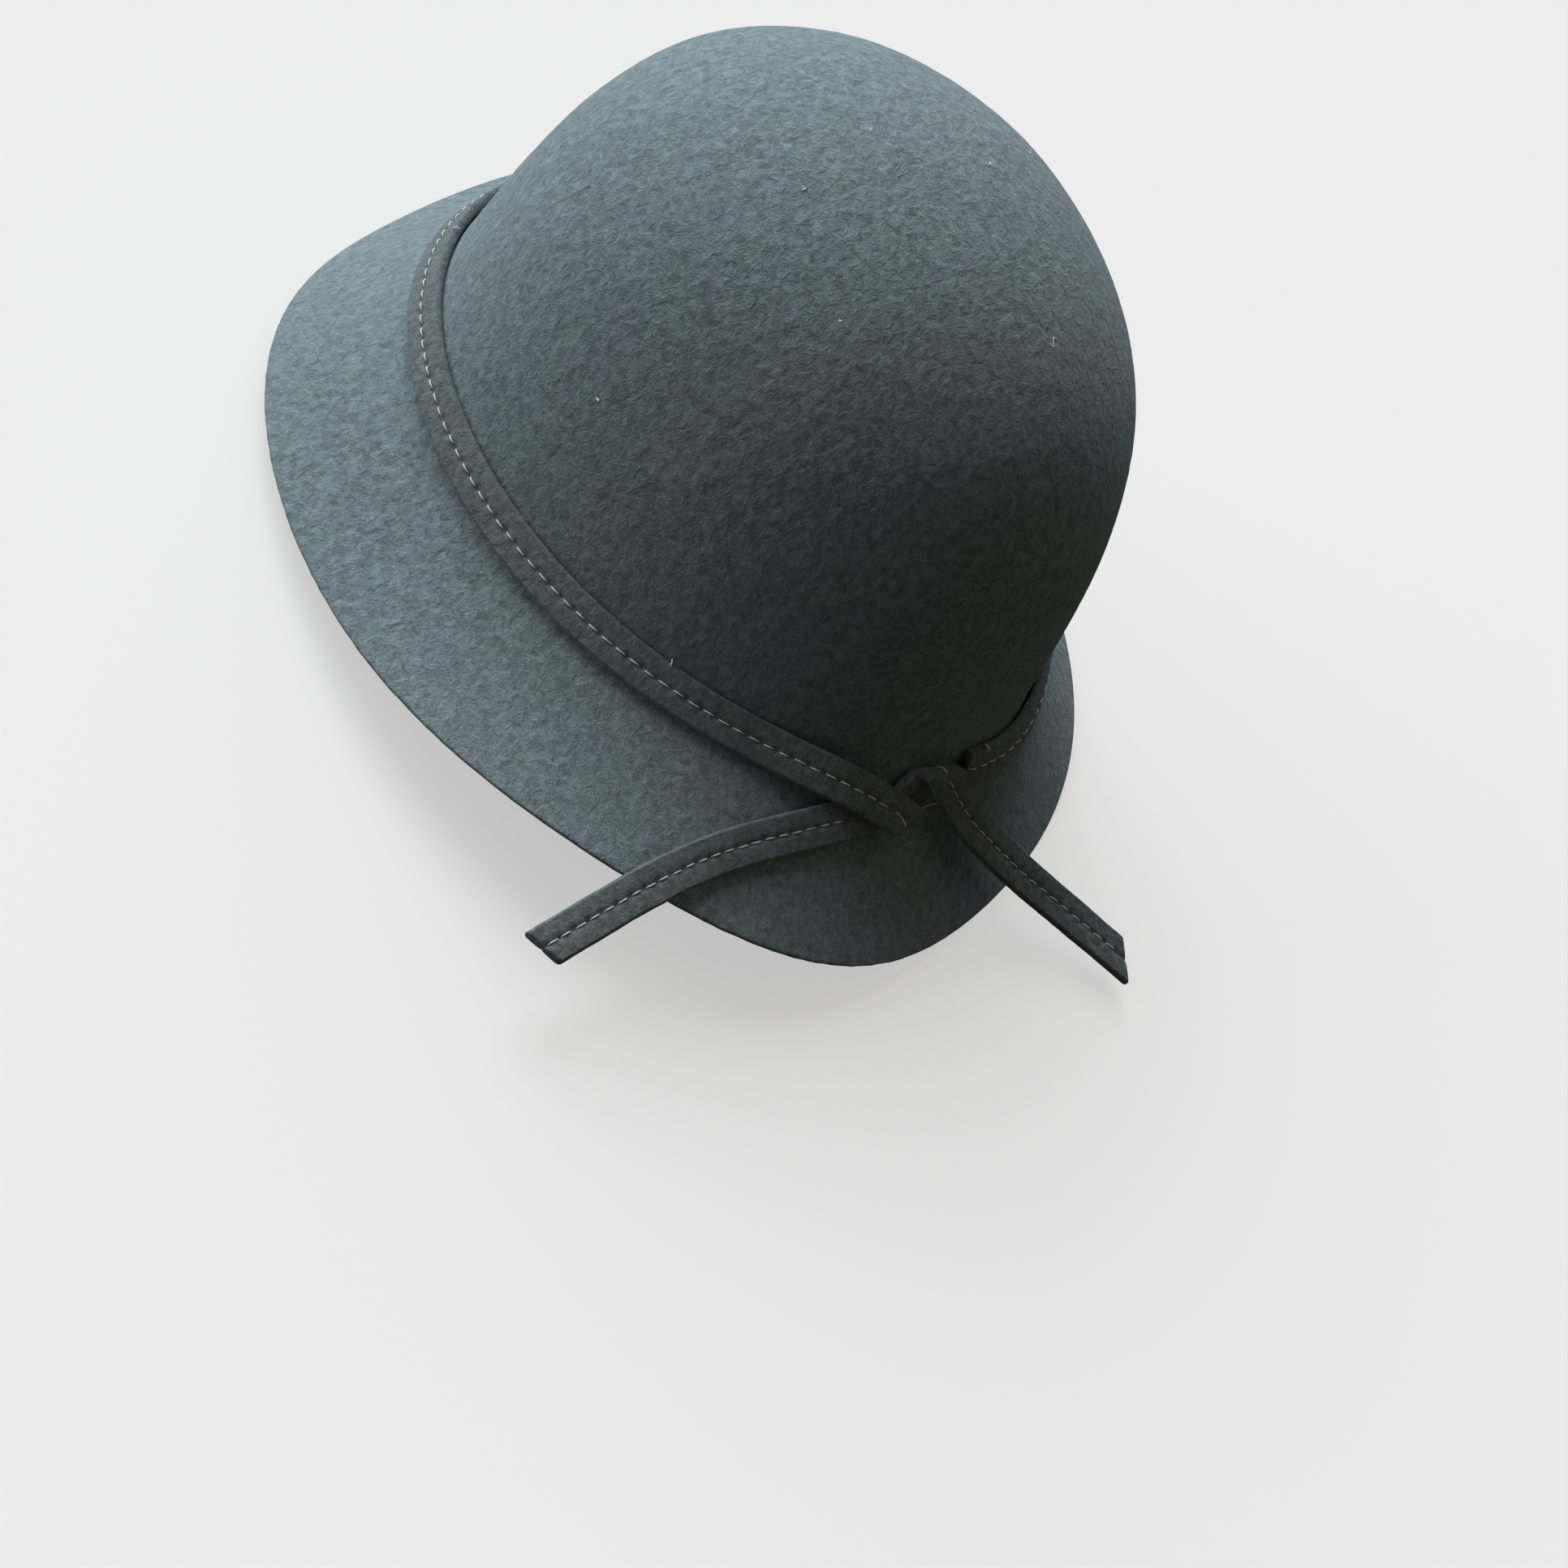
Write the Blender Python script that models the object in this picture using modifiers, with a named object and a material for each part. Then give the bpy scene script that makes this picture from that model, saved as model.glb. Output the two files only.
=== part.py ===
"""A wool felt cloche hat with a felt band, a tie whose two tails swing, and a grosgrain sweatband.

Frame: +Z up, the wearer's front at -Y, the wearer's left at +X. The origin is the bottom centre of
the hat's bounding box, tails included, in the plane that the brim's lowest arcs rest on. Lengths
are in metres and angles in degrees.

A place on the hat is given by its angle round the head oval (0 at the front, 90 at the wearer's
left, 180 at the back), its reach down the brim (0 at the band line, 1 at the brim's raw edge) and
its lift off the outer face of the felt.
"""

import math

import bmesh
import bpy
import numpy as np
from mathutils import Vector

MM = 0.001

# Where the head oval's axis stands in the frame
OVAL_AXIS = Vector((-11.5 * MM, -21.35 * MM))

# Felt body
FELT = 2.4 * MM
HEAD_HALF_WIDTH = 86.5 * MM
HEAD_HALF_LENGTH = 102.0 * MM
BAND_HEIGHT = 45.5 * MM
CROWN_HEIGHT = 117.0 * MM
CROWN_POWER = 3.0
CROWN_ROUNDNESS = 1.95
CROWN_TAPER = 0.0425
CROWN_LEAN = Vector((-3.5 * MM, -7.2 * MM))
BRIM_WIDTH = 54.4 * MM
BRIM_EXTRA_BACK = 1.7 * MM
BRIM_NECK = Vector((1.0 * MM, 10.0 * MM))
BRIM_FLARE = 22.0 * MM
FLARE_ANGLE = 10.0
DROOP = 41.0
DROOP_EXTRA_FRONT = 2.3
DROOP_WAVE = 15.8
DROOP_WAVE_TURN = 20.0
DROOP_RIPPLE = 4.5
DROOP_RIPPLE_TURN = -10.0
FELT_STATIONS = 72
BRIM_RINGS = 8
CROWN_RINGS = 12

# Table cutter: a slab that flattens the felt's lowest arcs
CUTTER_SIDE = 4 * (HEAD_HALF_LENGTH + BRIM_WIDTH)
CUTTER_DEPTH = 20.0 * MM

# How pieces are laid: the gap between neighbours, the spacing of stations round the head, the
# chord that a strip bridges, and the steps that surface directions are measured over
GAP = 0.3 * MM
ANGLE_STEP = 5.0
HALF_BRIDGE = 0.12
ANGLE_NUDGE = 0.5
RISE_NUDGE = 0.005
MITRE_LIMIT = 0.3
SHARP_ANGLE = 40.0

# Felt strips, for the band and the tie, and the running stitch in their groove
LAY = 0.5 * MM
STRIP_WIDTH = 11.0 * MM
STRIP_THICK = 3.0 * MM
STRIP_ROUND = 0.8 * MM
GROOVE_WIDTH = 1.3 * MM
GROOVE_DEPTH = 0.8 * MM
THREAD_WIDTH = 0.5 * MM
THREAD_THICK = 0.4 * MM
THREAD_INSET = 1
STRIP_LIFT = LAY + STRIP_THICK / 2
OVER_CLEARANCE = 0.7 * MM
OVER_LIFT = STRIP_LIFT + STRIP_THICK + OVER_CLEARANCE

# Band: it starts under the tie, runs round the head and ends across the tie on the brim
BAND_REACH = 0.15
BAND_START = 171.0
BAND_LEAVES = 475.0
BAND_END = 519.0
BAND_END_REACH = 0.455
BAND_RISES = 489.0
BAND_RISEN = 505.0
BAND_END_SKEW = 0.62
BAND_SLIP_CENTRE = 186.0
BAND_SLIP_SPAN = 14.0
BAND_SLIP_REACH = 0.05
BAND_SLIP_LIFT = 0.6 * MM

# Tie: one strip folded over itself at the fold, with a tail each side
# Each place is an angle, a reach and a lift
FOLD_PLACE = (162.0, 0.12, STRIP_LIFT + 0.6 * MM)
FOLD_LEG_PLACES = ((150.0, 0.36, STRIP_LIFT), (156.0, 0.24, STRIP_LIFT))
FOLD_LEAD = 2.5 * MM
LEFT_HINGE_PLACE = (144.0, 0.47, STRIP_LIFT)
RIGHT_HINGE_PLACE = (168.0, 0.33, 5.6 * MM)
LEFT_TAIL_PLACES = (
    (131.0, 0.71, 2.5 * MM),
    (123.5, 1.00, 4.0 * MM),
    (116.8, 1.49, 3.5 * MM),
)
RIGHT_TAIL_PLACES = (
    (171.0, 0.47, 7.5 * MM),
    (178.5, 0.74, 11.0 * MM),
    (184.5, 1.05, 20.0 * MM),
    (187.7, 1.33, 31.5 * MM),
)
LEFT_FACE_TIP = Vector((0.30, 0.10, 0.95))
RIGHT_FACE_TIP = Vector((0.10, 0.45, 0.88))
TAIL_STEPS = 14
LEFT_TIP_SKEW = -0.35
RIGHT_TIP_SKEW = 0.75

# Tack stitches that hold the band to the crown, and one that holds the tie
TACK_ANGLES = (22.0, 113.0, 175.0, 292.0)
TACK_RADIUS = 0.35 * MM
TACK_LENGTH = 4.0 * MM
TACK_LEAN = 50.0
TACK_SIDES = 8
KNOT_TACK_PLACE = (163.0, 0.36, 4.6 * MM)
KNOT_TACK_LENGTH = 3.0 * MM

# Sweatband, inside the crown, and the blank size tab sewn to it
RIBBON_HEIGHT = 28.0 * MM
RIBBON_THICK = 0.8 * MM
RIBBON_LOW = 3.0 * MM
RIBBON_START = 186.0
RIBBON_LAP = 7.0
RIBBON_LAP_RAMP = 12.0
SEWING_LOW = 2.5 * MM
SEWING_FIRST = 3
SEAM_BACK = 2.0
SEAM_WIDTH = 0.3
SEAM_MARGIN = 4.5 * MM
TAB_ANGLE = 206.0
TAB_WIDTH = 20.0 * MM
TAB_LENGTH = 17.0 * MM
TAB_THICK = 0.5 * MM
TAB_TOP = 26.0 * MM
TAB_STAND_OFF = 1.1 * MM
TAB_SEWING_MARGIN = 2.0 * MM

COLOURS = {
    "felt": ((0.105, 0.130, 0.142), 0.95),
    "strip_felt": ((0.070, 0.080, 0.082), 0.95),
    "thread": ((0.46, 0.49, 0.50), 0.70),
    "grosgrain": ((0.020, 0.022, 0.024), 0.60),
    "tab_satin": ((0.72, 0.72, 0.70), 0.45),
}


def clear_scene():
    for obj in list(bpy.data.objects):
        bpy.data.objects.remove(obj, do_unlink=True)


def make_collection(name):
    collection = bpy.data.collections.new(name)
    bpy.context.scene.collection.children.link(collection)
    return collection


def make_material(name):
    colour, roughness = COLOURS[name]
    material = bpy.data.materials.new(name)
    material.use_nodes = True
    shader = material.node_tree.nodes["Principled BSDF"]
    shader.inputs["Base Color"].default_value = (*colour, 1.0)
    shader.inputs["Roughness"].default_value = roughness
    shader.inputs["Metallic"].default_value = 0.0
    return material


# ---- the outer face of the felt ----


def head_oval(angle):
    """The band line's point at an angle, and the direction straight out from it."""
    turn = math.radians(angle)
    place = Vector((HEAD_HALF_WIDTH * math.sin(turn), -HEAD_HALF_LENGTH * math.cos(turn)))
    out = Vector((math.sin(turn) / HEAD_HALF_WIDTH, -math.cos(turn) / HEAD_HALF_LENGTH))
    return place, out.normalized()


def droop_angle(angle):
    """How far the brim hangs below level, in radians: low at front and back, high at the sides."""
    wave = math.cos(2 * math.radians(angle - DROOP_WAVE_TURN))
    ripple = math.cos(4 * math.radians(angle - DROOP_RIPPLE_TURN))
    front = DROOP_EXTRA_FRONT * math.cos(math.radians(angle))
    return math.radians(DROOP + front + DROOP_WAVE * wave + DROOP_RIPPLE * ripple)


def brim_curve(angle, reach):
    """Distance out from the band line and down from it: a cubic that flares towards the edge."""
    droop = droop_angle(angle)
    slope = droop - math.radians(FLARE_ANGLE)
    width = BRIM_WIDTH - BRIM_EXTRA_BACK * math.cos(math.radians(angle))
    edge = Vector((width * math.cos(droop), width * math.sin(droop)))
    flare = edge - BRIM_FLARE * Vector((math.cos(slope), math.sin(slope)))
    t = min(reach, 1.0)
    curve = 3 * t * (1 - t) ** 2 * BRIM_NECK + 3 * t * t * (1 - t) * flare + t**3 * edge
    beyond = max(reach, 1.0) - 1.0
    return curve + 3 * beyond * (edge - flare)


def brim_point(angle, reach):
    place, out = head_oval(angle)
    step = brim_curve(angle, reach)
    flat = OVAL_AXIS + place + out * step.x
    return Vector((flat.x, flat.y, BAND_HEIGHT - step.y))


def crown_point(angle, rise):
    """A point on the crown: rise is 0 at the band line and 1 at the top of the crown."""
    place, _ = head_oval(angle)
    round_off = (1 - rise**CROWN_POWER) ** (1 / CROWN_ROUNDNESS)
    shrink = round_off * (1 - CROWN_TAPER * math.sin(math.pi * rise))
    flat = OVAL_AXIS + place * shrink + CROWN_LEAN * rise
    return Vector((flat.x, flat.y, BAND_HEIGHT + CROWN_HEIGHT * rise))


def station(angle, reach, lift):
    """A strip's place: lifted off the chord that the strip bridges, with the chord's normal."""
    upper = brim_point(angle, max(reach - HALF_BRIDGE, 0.0))
    lower = brim_point(angle, reach + HALF_BRIDGE)
    round_step = brim_point(angle + ANGLE_NUDGE, reach) - brim_point(angle - ANGLE_NUDGE, reach)
    normal = (lower - upper).cross(round_step).normalized()
    return (upper + lower) / 2 + normal * lift, normal


def wall_station(angle, height, inset):
    """A point inside the crown wall: height is above the band line, inset is in from outside."""
    rise = height / CROWN_HEIGHT
    down_step = crown_point(angle, rise - RISE_NUDGE) - crown_point(angle, rise + RISE_NUDGE)
    round_step = crown_point(angle + ANGLE_NUDGE, rise) - crown_point(angle - ANGLE_NUDGE, rise)
    outward = down_step.cross(round_step).normalized()
    return crown_point(angle, rise) - outward * inset


# ---- mesh helpers ----


def mesh_object(name, mesh, material, collection):
    mesh.shade_smooth()
    mesh.set_sharp_from_angle(angle=math.radians(SHARP_ANGLE))
    mesh.materials.append(material)
    obj = bpy.data.objects.new(name, mesh)
    collection.objects.link(obj)
    return obj


def loft(name, rings, material, collection):
    """Skins a list of rings, one after another, with a flat cap at each end."""
    builder = bmesh.new()
    rows = [[builder.verts.new(point) for point in ring] for ring in rings]
    size = len(rings[0])
    for first, second in zip(rows, rows[1:]):
        for i in range(size):
            j = (i + 1) % size
            builder.faces.new((first[i], first[j], second[j], second[i]))
    builder.faces.new(rows[0])
    builder.faces.new(rows[-1])
    bmesh.ops.recalc_face_normals(builder, faces=builder.faces)
    mesh = bpy.data.meshes.new(name)
    builder.to_mesh(mesh)
    builder.free()
    return mesh_object(name, mesh, material, collection)


def path_directions(points):
    """At each point, the direction of travel and the mitre's stretch across the path."""
    legs = [(b - a).normalized() for a, b in zip(points, points[1:])]
    directions = []
    for before, after in zip([legs[0]] + legs, legs + [legs[-1]]):
        middle = (before + after).normalized()
        directions.append((middle, 1 / max(middle.dot(after), MITRE_LIMIT)))
    return directions


def sweep_rings(stations, section, start_skew=0.0, end_skew=0.0):
    """Section points are (across, above) the path. A skew slants an end across the strip."""
    points = [point for point, _ in stations]
    directions = path_directions(points)
    last = len(stations) - 1
    rings = []
    for i, ((point, face), (travel, stretch)) in enumerate(zip(stations, directions)):
        across = face.cross(travel).normalized()
        above = travel.cross(across).normalized()
        skew = start_skew if i == 0 else end_skew if i == last else 0.0
        ring = []
        for side, height in section:
            shift = travel * (side * skew)
            ring.append(point + across * (side * stretch) + above * height + shift)
        rings.append(ring)
    return rings


def box_section(width, thick, above=0.0):
    w = width / 2
    t = thick / 2
    return [(-w, above - t), (w, above - t), (w, above + t), (-w, above + t)]


def strip_section():
    """A flat strip with its edges rounded, and a groove along its upper face for the stitching."""
    w = STRIP_WIDTH / 2
    t = STRIP_THICK / 2
    r = STRIP_ROUND
    g = GROOVE_WIDTH / 2
    floor = t - GROOVE_DEPTH
    lower = [(-w + r, -t), (w - r, -t), (w, -t + r), (w, t - r)]
    upper = [(w - r, t), (g, t), (g, floor), (-g, floor), (-g, t), (-w + r, t)]
    return lower + upper + [(-w, t - r), (-w, -t + r)]


def thread_section():
    above = STRIP_THICK / 2 - GROOVE_DEPTH + GAP + THREAD_THICK / 2
    return box_section(THREAD_WIDTH, THREAD_THICK, above)


def smooth_path(points, steps):
    """A Catmull-Rom curve through the points, in equal steps along each span."""
    ends = [points[0] * 2 - points[1]] + points + [points[-1] * 2 - points[-2]]
    spans = len(points) - 1
    path = []
    for i in range(steps + 1):
        place = i * spans / steps
        k = min(int(place), spans - 1)
        t = place - k
        a, b, c, d = ends[k : k + 4]
        bend = (a * 2 - b * 5 + c * 4 - d) * t * t + (b * 3 - a - c * 3 + d) * t**3
        path.append((b * 2 + (c - a) * t + bend) / 2)
    return path


# ---- felt body ----


def felt_rings():
    """Rings from the raw edge of the brim up to just under the top of the crown."""
    angles = [360 * i / FELT_STATIONS for i in range(FELT_STATIONS)]
    rings = []
    for i in range(BRIM_RINGS, 0, -1):
        rings.append([brim_point(angle, i / BRIM_RINGS) for angle in angles])
    for i in range(CROWN_RINGS):
        rise = math.sin(0.5 * math.pi * i / CROWN_RINGS) ** (2 / CROWN_POWER)
        rings.append([crown_point(angle, rise) for angle in angles])
    return rings


def make_felt_body(material, collection, cutters):
    """The one-piece blocked hood: an open surface thickened inwards, its low arcs pressed flat."""
    shell = bmesh.new()
    rows = [[shell.verts.new(point) for point in ring] for ring in felt_rings()]
    for first, second in zip(rows, rows[1:]):
        for i in range(FELT_STATIONS):
            j = (i + 1) % FELT_STATIONS
            shell.faces.new((first[i], first[j], second[j], second[i]))
    top = shell.verts.new(crown_point(0, 1.0))
    for i in range(FELT_STATIONS):
        shell.faces.new((rows[-1][i], rows[-1][(i + 1) % FELT_STATIONS], top))
    mesh = bpy.data.meshes.new("felt_body")
    shell.to_mesh(mesh)
    shell.free()
    body = mesh_object("felt_body", mesh, material, collection)
    solidify = body.modifiers.new("felt_thickness", "SOLIDIFY")
    solidify.thickness = FELT
    solidify.offset = -1.0
    solidify.use_even_offset = True
    trim = body.modifiers.new("resting_arcs", "BOOLEAN")
    trim.operation = "DIFFERENCE"
    trim.solver = "EXACT"
    trim.object = make_table_cutter(cutters)
    return body


def make_table_cutter(cutters):
    """A slab whose top is the resting plane; it flattens the brim's lowest arcs."""
    bpy.ops.mesh.primitive_cube_add(size=1, location=(0, 0, -CUTTER_DEPTH / 2))
    slab = bpy.context.object
    slab.name = "table_cutter"
    slab.scale = (CUTTER_SIDE, CUTTER_SIDE, CUTTER_DEPTH)
    bpy.context.view_layer.update()
    for holder in list(slab.users_collection):
        holder.objects.unlink(slab)
    cutters.objects.link(slab)
    slab.hide_render = True
    slab.display_type = "WIRE"
    return slab


# ---- band and tie ----


def ease(value, low, high):
    t = min(max((value - low) / (high - low), 0.0), 1.0)
    return t * t * (3 - 2 * t)


def band_place(angle):
    """Reach and lift of the band's centre line at an angle."""
    away = max(angle - BAND_LEAVES, 0.0) / (BAND_END - BAND_LEAVES)
    slip = math.exp(-(((angle - BAND_SLIP_CENTRE) / BAND_SLIP_SPAN) ** 2))
    reach = BAND_REACH + (BAND_END_REACH - BAND_REACH) * away**3 + BAND_SLIP_REACH * slip
    rise = ease(angle, BAND_RISES, BAND_RISEN)
    lift = STRIP_LIFT + (OVER_LIFT - STRIP_LIFT) * rise + BAND_SLIP_LIFT * slip
    return reach, lift


def band_stations():
    steps = round((BAND_END - BAND_START) / ANGLE_STEP)
    angles = np.linspace(BAND_START, BAND_END, steps + 1)
    return [station(float(angle), *band_place(float(angle))) for angle in angles]


def make_band(strip_material, thread_material, collection):
    stations = band_stations()
    rings = sweep_rings(stations, strip_section(), end_skew=BAND_END_SKEW)
    loft("band_strip", rings, strip_material, collection)
    sewn = stations[THREAD_INSET:-THREAD_INSET]
    rings = sweep_rings(sewn, thread_section())
    loft("band_thread", rings, thread_material, collection)


def tail_stations(hinge_place, places, tip_face):
    """From the hinge to the tip; the tail's face turns from the felt's normal to the tip's."""
    root, root_face = station(*hinge_place)
    points = [root] + [station(*place)[0] for place in places]
    path = smooth_path(points, TAIL_STEPS)
    return [(point, root_face.lerp(tip_face, i / TAIL_STEPS)) for i, point in enumerate(path)]


def pivot_of(stations):
    """The hinge line's middle: on the upper face of the strip, at the root's end."""
    point, face = stations[0]
    travel = (stations[1][0] - point).normalized()
    across = face.cross(travel).normalized()
    above = travel.cross(across).normalized()
    return point + above * (STRIP_THICK / 2)


def move_origin(obj, pivot):
    for vertex in obj.data.vertices:
        vertex.co -= pivot
    obj.location = pivot


def make_tail(side, stations, tip_skew, strip_material, thread_material, collection):
    pivot = pivot_of(stations)
    rings = sweep_rings(stations, strip_section(), end_skew=tip_skew)
    tail = loft(f"tie_tail_{side}", rings, strip_material, collection)
    sewn = stations[THREAD_INSET:-THREAD_INSET]
    thread_rings = sweep_rings(sewn, thread_section())
    thread = loft(f"tail_thread_{side}", thread_rings, thread_material, collection)
    move_origin(tail, pivot)
    move_origin(thread, pivot)
    return pivot


def make_fold(left_stations, right_stations, material, collection):
    """The tie's middle: a short leg to each tail, meeting at a mitre against the crown."""
    fold_point, fold_face = station(*FOLD_PLACE)
    left_point, left_face = left_stations[0]
    right_point, right_face = right_stations[0]
    left_travel = (left_stations[1][0] - left_point).normalized()
    right_travel = (right_stations[1][0] - right_point).normalized()
    leg = [station(*place) for place in FOLD_LEG_PLACES]
    stations = [
        (left_point - left_travel * GAP, left_face),
        (left_point - left_travel * FOLD_LEAD, left_face),
        *leg,
        (fold_point, fold_face),
        (right_point - right_travel * FOLD_LEAD, right_face),
        (right_point - right_travel * GAP, right_face),
    ]
    rings = sweep_rings(stations, box_section(STRIP_WIDTH, STRIP_THICK))
    loft("tie_fold", rings, material, collection)


def make_tack(name, point, direction, length, material, collection):
    """A short straight bar of thread."""
    builder = bmesh.new()
    bmesh.ops.create_cone(
        builder,
        cap_ends=True,
        segments=TACK_SIDES,
        radius1=TACK_RADIUS,
        radius2=TACK_RADIUS,
        depth=length,
    )
    mesh = bpy.data.meshes.new(name)
    builder.to_mesh(mesh)
    builder.free()
    tack = mesh_object(name, mesh, material, collection)
    tack.rotation_mode = "QUATERNION"
    tack.rotation_quaternion = direction.to_track_quat("Z", "Y")
    tack.location = point


def make_band_tacks(material, collection):
    """Stitches that lean from the band's upper edge in to the crown wall."""
    lean = math.radians(TACK_LEAN)
    for number, angle in enumerate(TACK_ANGLES, start=1):
        turned = angle if angle > BAND_START else angle + 360
        centre, _ = station(angle, *band_place(turned))
        _, out = head_oval(angle)
        above_band = STRIP_WIDTH / 2 + TACK_RADIUS + GAP
        point = centre + Vector((0, 0, above_band))
        inward = Vector((-out.x * math.sin(lean), -out.y * math.sin(lean), math.cos(lean)))
        make_tack(f"tack_stitch_{number}", point, inward, TACK_LENGTH, material, collection)


def make_knot_tack(material, collection):
    """The thread that crosses the small window between the band's end and the fold."""
    point, _ = station(*KNOT_TACK_PLACE)
    angle, reach, lift = KNOT_TACK_PLACE
    beyond, _ = station(angle + 1, reach, lift)
    direction = (beyond - point).normalized()
    make_tack("knot_stitch", point, direction, KNOT_TACK_LENGTH, material, collection)


# ---- sweatband ----


def ribbon_rings(low, high, inset_at, thick, angles):
    rings = []
    for angle in angles:
        inset = inset_at(angle)
        outer = [wall_station(angle, low, inset), wall_station(angle, high, inset)]
        inner = [wall_station(angle, high, inset + thick), wall_station(angle, low, inset + thick)]
        rings.append(outer + inner)
    return rings


def ribbon_inset(angle):
    """The ribbon's last stretch runs inside its first, so that the ends lap."""
    turns = angle - RIBBON_START
    lap = ease(turns, 360 - RIBBON_LAP_RAMP, 360)
    return FELT + LAY + lap * (RIBBON_THICK + GAP)


def sewn_inset(angle):
    """Thread lies on the ribbon's inner face."""
    return ribbon_inset(angle) + RIBBON_THICK + GAP


def make_sweatband(ribbon_material, thread_material, collection):
    """The ribbon, the stitching along its foot and the seam that closes its lap."""
    last = RIBBON_START + 360 + RIBBON_LAP
    steps = round((last - RIBBON_START) / ANGLE_STEP)
    angles = [float(angle) for angle in np.linspace(RIBBON_START, last, steps + 1)]
    top = RIBBON_LOW + RIBBON_HEIGHT
    rings = ribbon_rings(RIBBON_LOW, top, ribbon_inset, RIBBON_THICK, angles)
    loft("sweatband", rings, ribbon_material, collection)
    foot = RIBBON_LOW + SEWING_LOW
    sewn = angles[SEWING_FIRST:-1]
    rings = ribbon_rings(foot, foot + THREAD_WIDTH, sewn_inset, THREAD_THICK, sewn)
    loft("sweatband_thread", rings, thread_material, collection)
    seam = [last - SEAM_BACK, last - SEAM_BACK + SEAM_WIDTH]
    low = RIBBON_LOW + SEAM_MARGIN
    rings = ribbon_rings(low, top - SEAM_MARGIN, sewn_inset, THREAD_THICK, seam)
    loft("sweatband_seam_stitch", rings, thread_material, collection)


def tab_frame():
    """The middle of the tab's sewn edge, and its directions: along it, up the wall and inward."""
    inset = sewn_inset(TAB_ANGLE) + TAB_STAND_OFF
    top = wall_station(TAB_ANGLE, TAB_TOP, inset)
    foot = wall_station(TAB_ANGLE, TAB_TOP - TAB_LENGTH, inset)
    up = (top - foot).normalized()
    _, out = head_oval(TAB_ANGLE)
    along = up.cross(Vector((out.x, out.y, 0))).normalized()
    inward = up.cross(along).normalized()
    return top, along, up, inward


def make_slab(name, low, high, material, collection):
    """A box in the tab's directions, its origin on the tab's sewn edge."""
    origin, along, up, inward = tab_frame()
    builder = bmesh.new()
    bmesh.ops.create_cube(builder, size=1)
    for vertex in builder.verts:
        place = [low[i] + (high[i] - low[i]) * (vertex.co[i] + 0.5) for i in range(3)]
        vertex.co = along * place[0] + up * place[1] + inward * place[2]
    bmesh.ops.recalc_face_normals(builder, faces=builder.faces)
    mesh = bpy.data.meshes.new(name)
    builder.to_mesh(mesh)
    builder.free()
    slab = mesh_object(name, mesh, material, collection)
    slab.location = origin


def make_size_tab(tab_material, thread_material, collection):
    """A blank satin tab that hangs inside from its sewn upper edge, and the stitching above it."""
    w = TAB_WIDTH / 2
    t = TAB_THICK / 2
    make_slab("size_tab", (-w, -TAB_LENGTH, -t), (w, 0, t), tab_material, collection)
    s = w - TAB_SEWING_MARGIN
    foot = GAP
    low = (-s, foot, -t)
    high = (s, foot + THREAD_WIDTH, t)
    make_slab("size_tab_thread", low, high, thread_material, collection)


def main():
    clear_scene()
    hat = make_collection("cloche_hat")
    cutters = make_collection("cutters")
    felt = make_material("felt")
    strip_felt = make_material("strip_felt")
    thread = make_material("thread")
    grosgrain = make_material("grosgrain")
    make_felt_body(felt, hat, cutters)
    make_band(strip_felt, thread, hat)
    left = tail_stations(LEFT_HINGE_PLACE, LEFT_TAIL_PLACES, LEFT_FACE_TIP)
    right = tail_stations(RIGHT_HINGE_PLACE, RIGHT_TAIL_PLACES, RIGHT_FACE_TIP)
    make_tail("left", left, LEFT_TIP_SKEW, strip_felt, thread, hat)
    make_tail("right", right, RIGHT_TIP_SKEW, strip_felt, thread, hat)
    make_fold(left, right, strip_felt, hat)
    make_band_tacks(thread, hat)
    make_knot_tack(thread, hat)
    make_sweatband(grosgrain, thread, hat)
    make_size_tab(make_material("tab_satin"), thread, hat)


main()
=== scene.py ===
"""The looks of a wool-felt cloche hat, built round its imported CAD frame.

Lengths are in metres and angles in degrees. +Z is up, the wearer's front is at -Y and the
wearer's left at +X. A place on the hat is given as in the CAD: an angle round the head oval
(0 at the front, 90 at the wearer's left, 180 at the back), a reach down the brim (0 at the band
line, 1 at the raw edge) and a lift off the felt's outer face.
"""

import math
import random

import bpy
import numpy as np
from mathutils import Matrix, Vector, noise


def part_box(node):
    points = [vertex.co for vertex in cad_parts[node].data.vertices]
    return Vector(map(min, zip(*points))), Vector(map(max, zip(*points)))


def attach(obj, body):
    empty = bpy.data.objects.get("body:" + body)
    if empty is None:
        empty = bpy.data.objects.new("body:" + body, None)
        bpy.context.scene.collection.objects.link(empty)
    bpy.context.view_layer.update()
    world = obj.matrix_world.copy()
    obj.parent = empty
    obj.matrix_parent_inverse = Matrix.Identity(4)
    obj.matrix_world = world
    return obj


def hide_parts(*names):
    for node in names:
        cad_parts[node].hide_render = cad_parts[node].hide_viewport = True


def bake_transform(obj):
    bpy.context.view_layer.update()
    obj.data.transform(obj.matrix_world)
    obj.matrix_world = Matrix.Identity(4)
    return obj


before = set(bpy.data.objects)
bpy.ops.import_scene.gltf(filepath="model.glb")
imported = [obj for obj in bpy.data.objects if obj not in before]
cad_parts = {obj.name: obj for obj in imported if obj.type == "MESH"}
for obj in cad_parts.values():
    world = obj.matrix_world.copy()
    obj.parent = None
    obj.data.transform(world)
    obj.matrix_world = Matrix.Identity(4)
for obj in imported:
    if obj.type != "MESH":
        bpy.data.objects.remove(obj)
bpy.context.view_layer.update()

MM = 0.001

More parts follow.
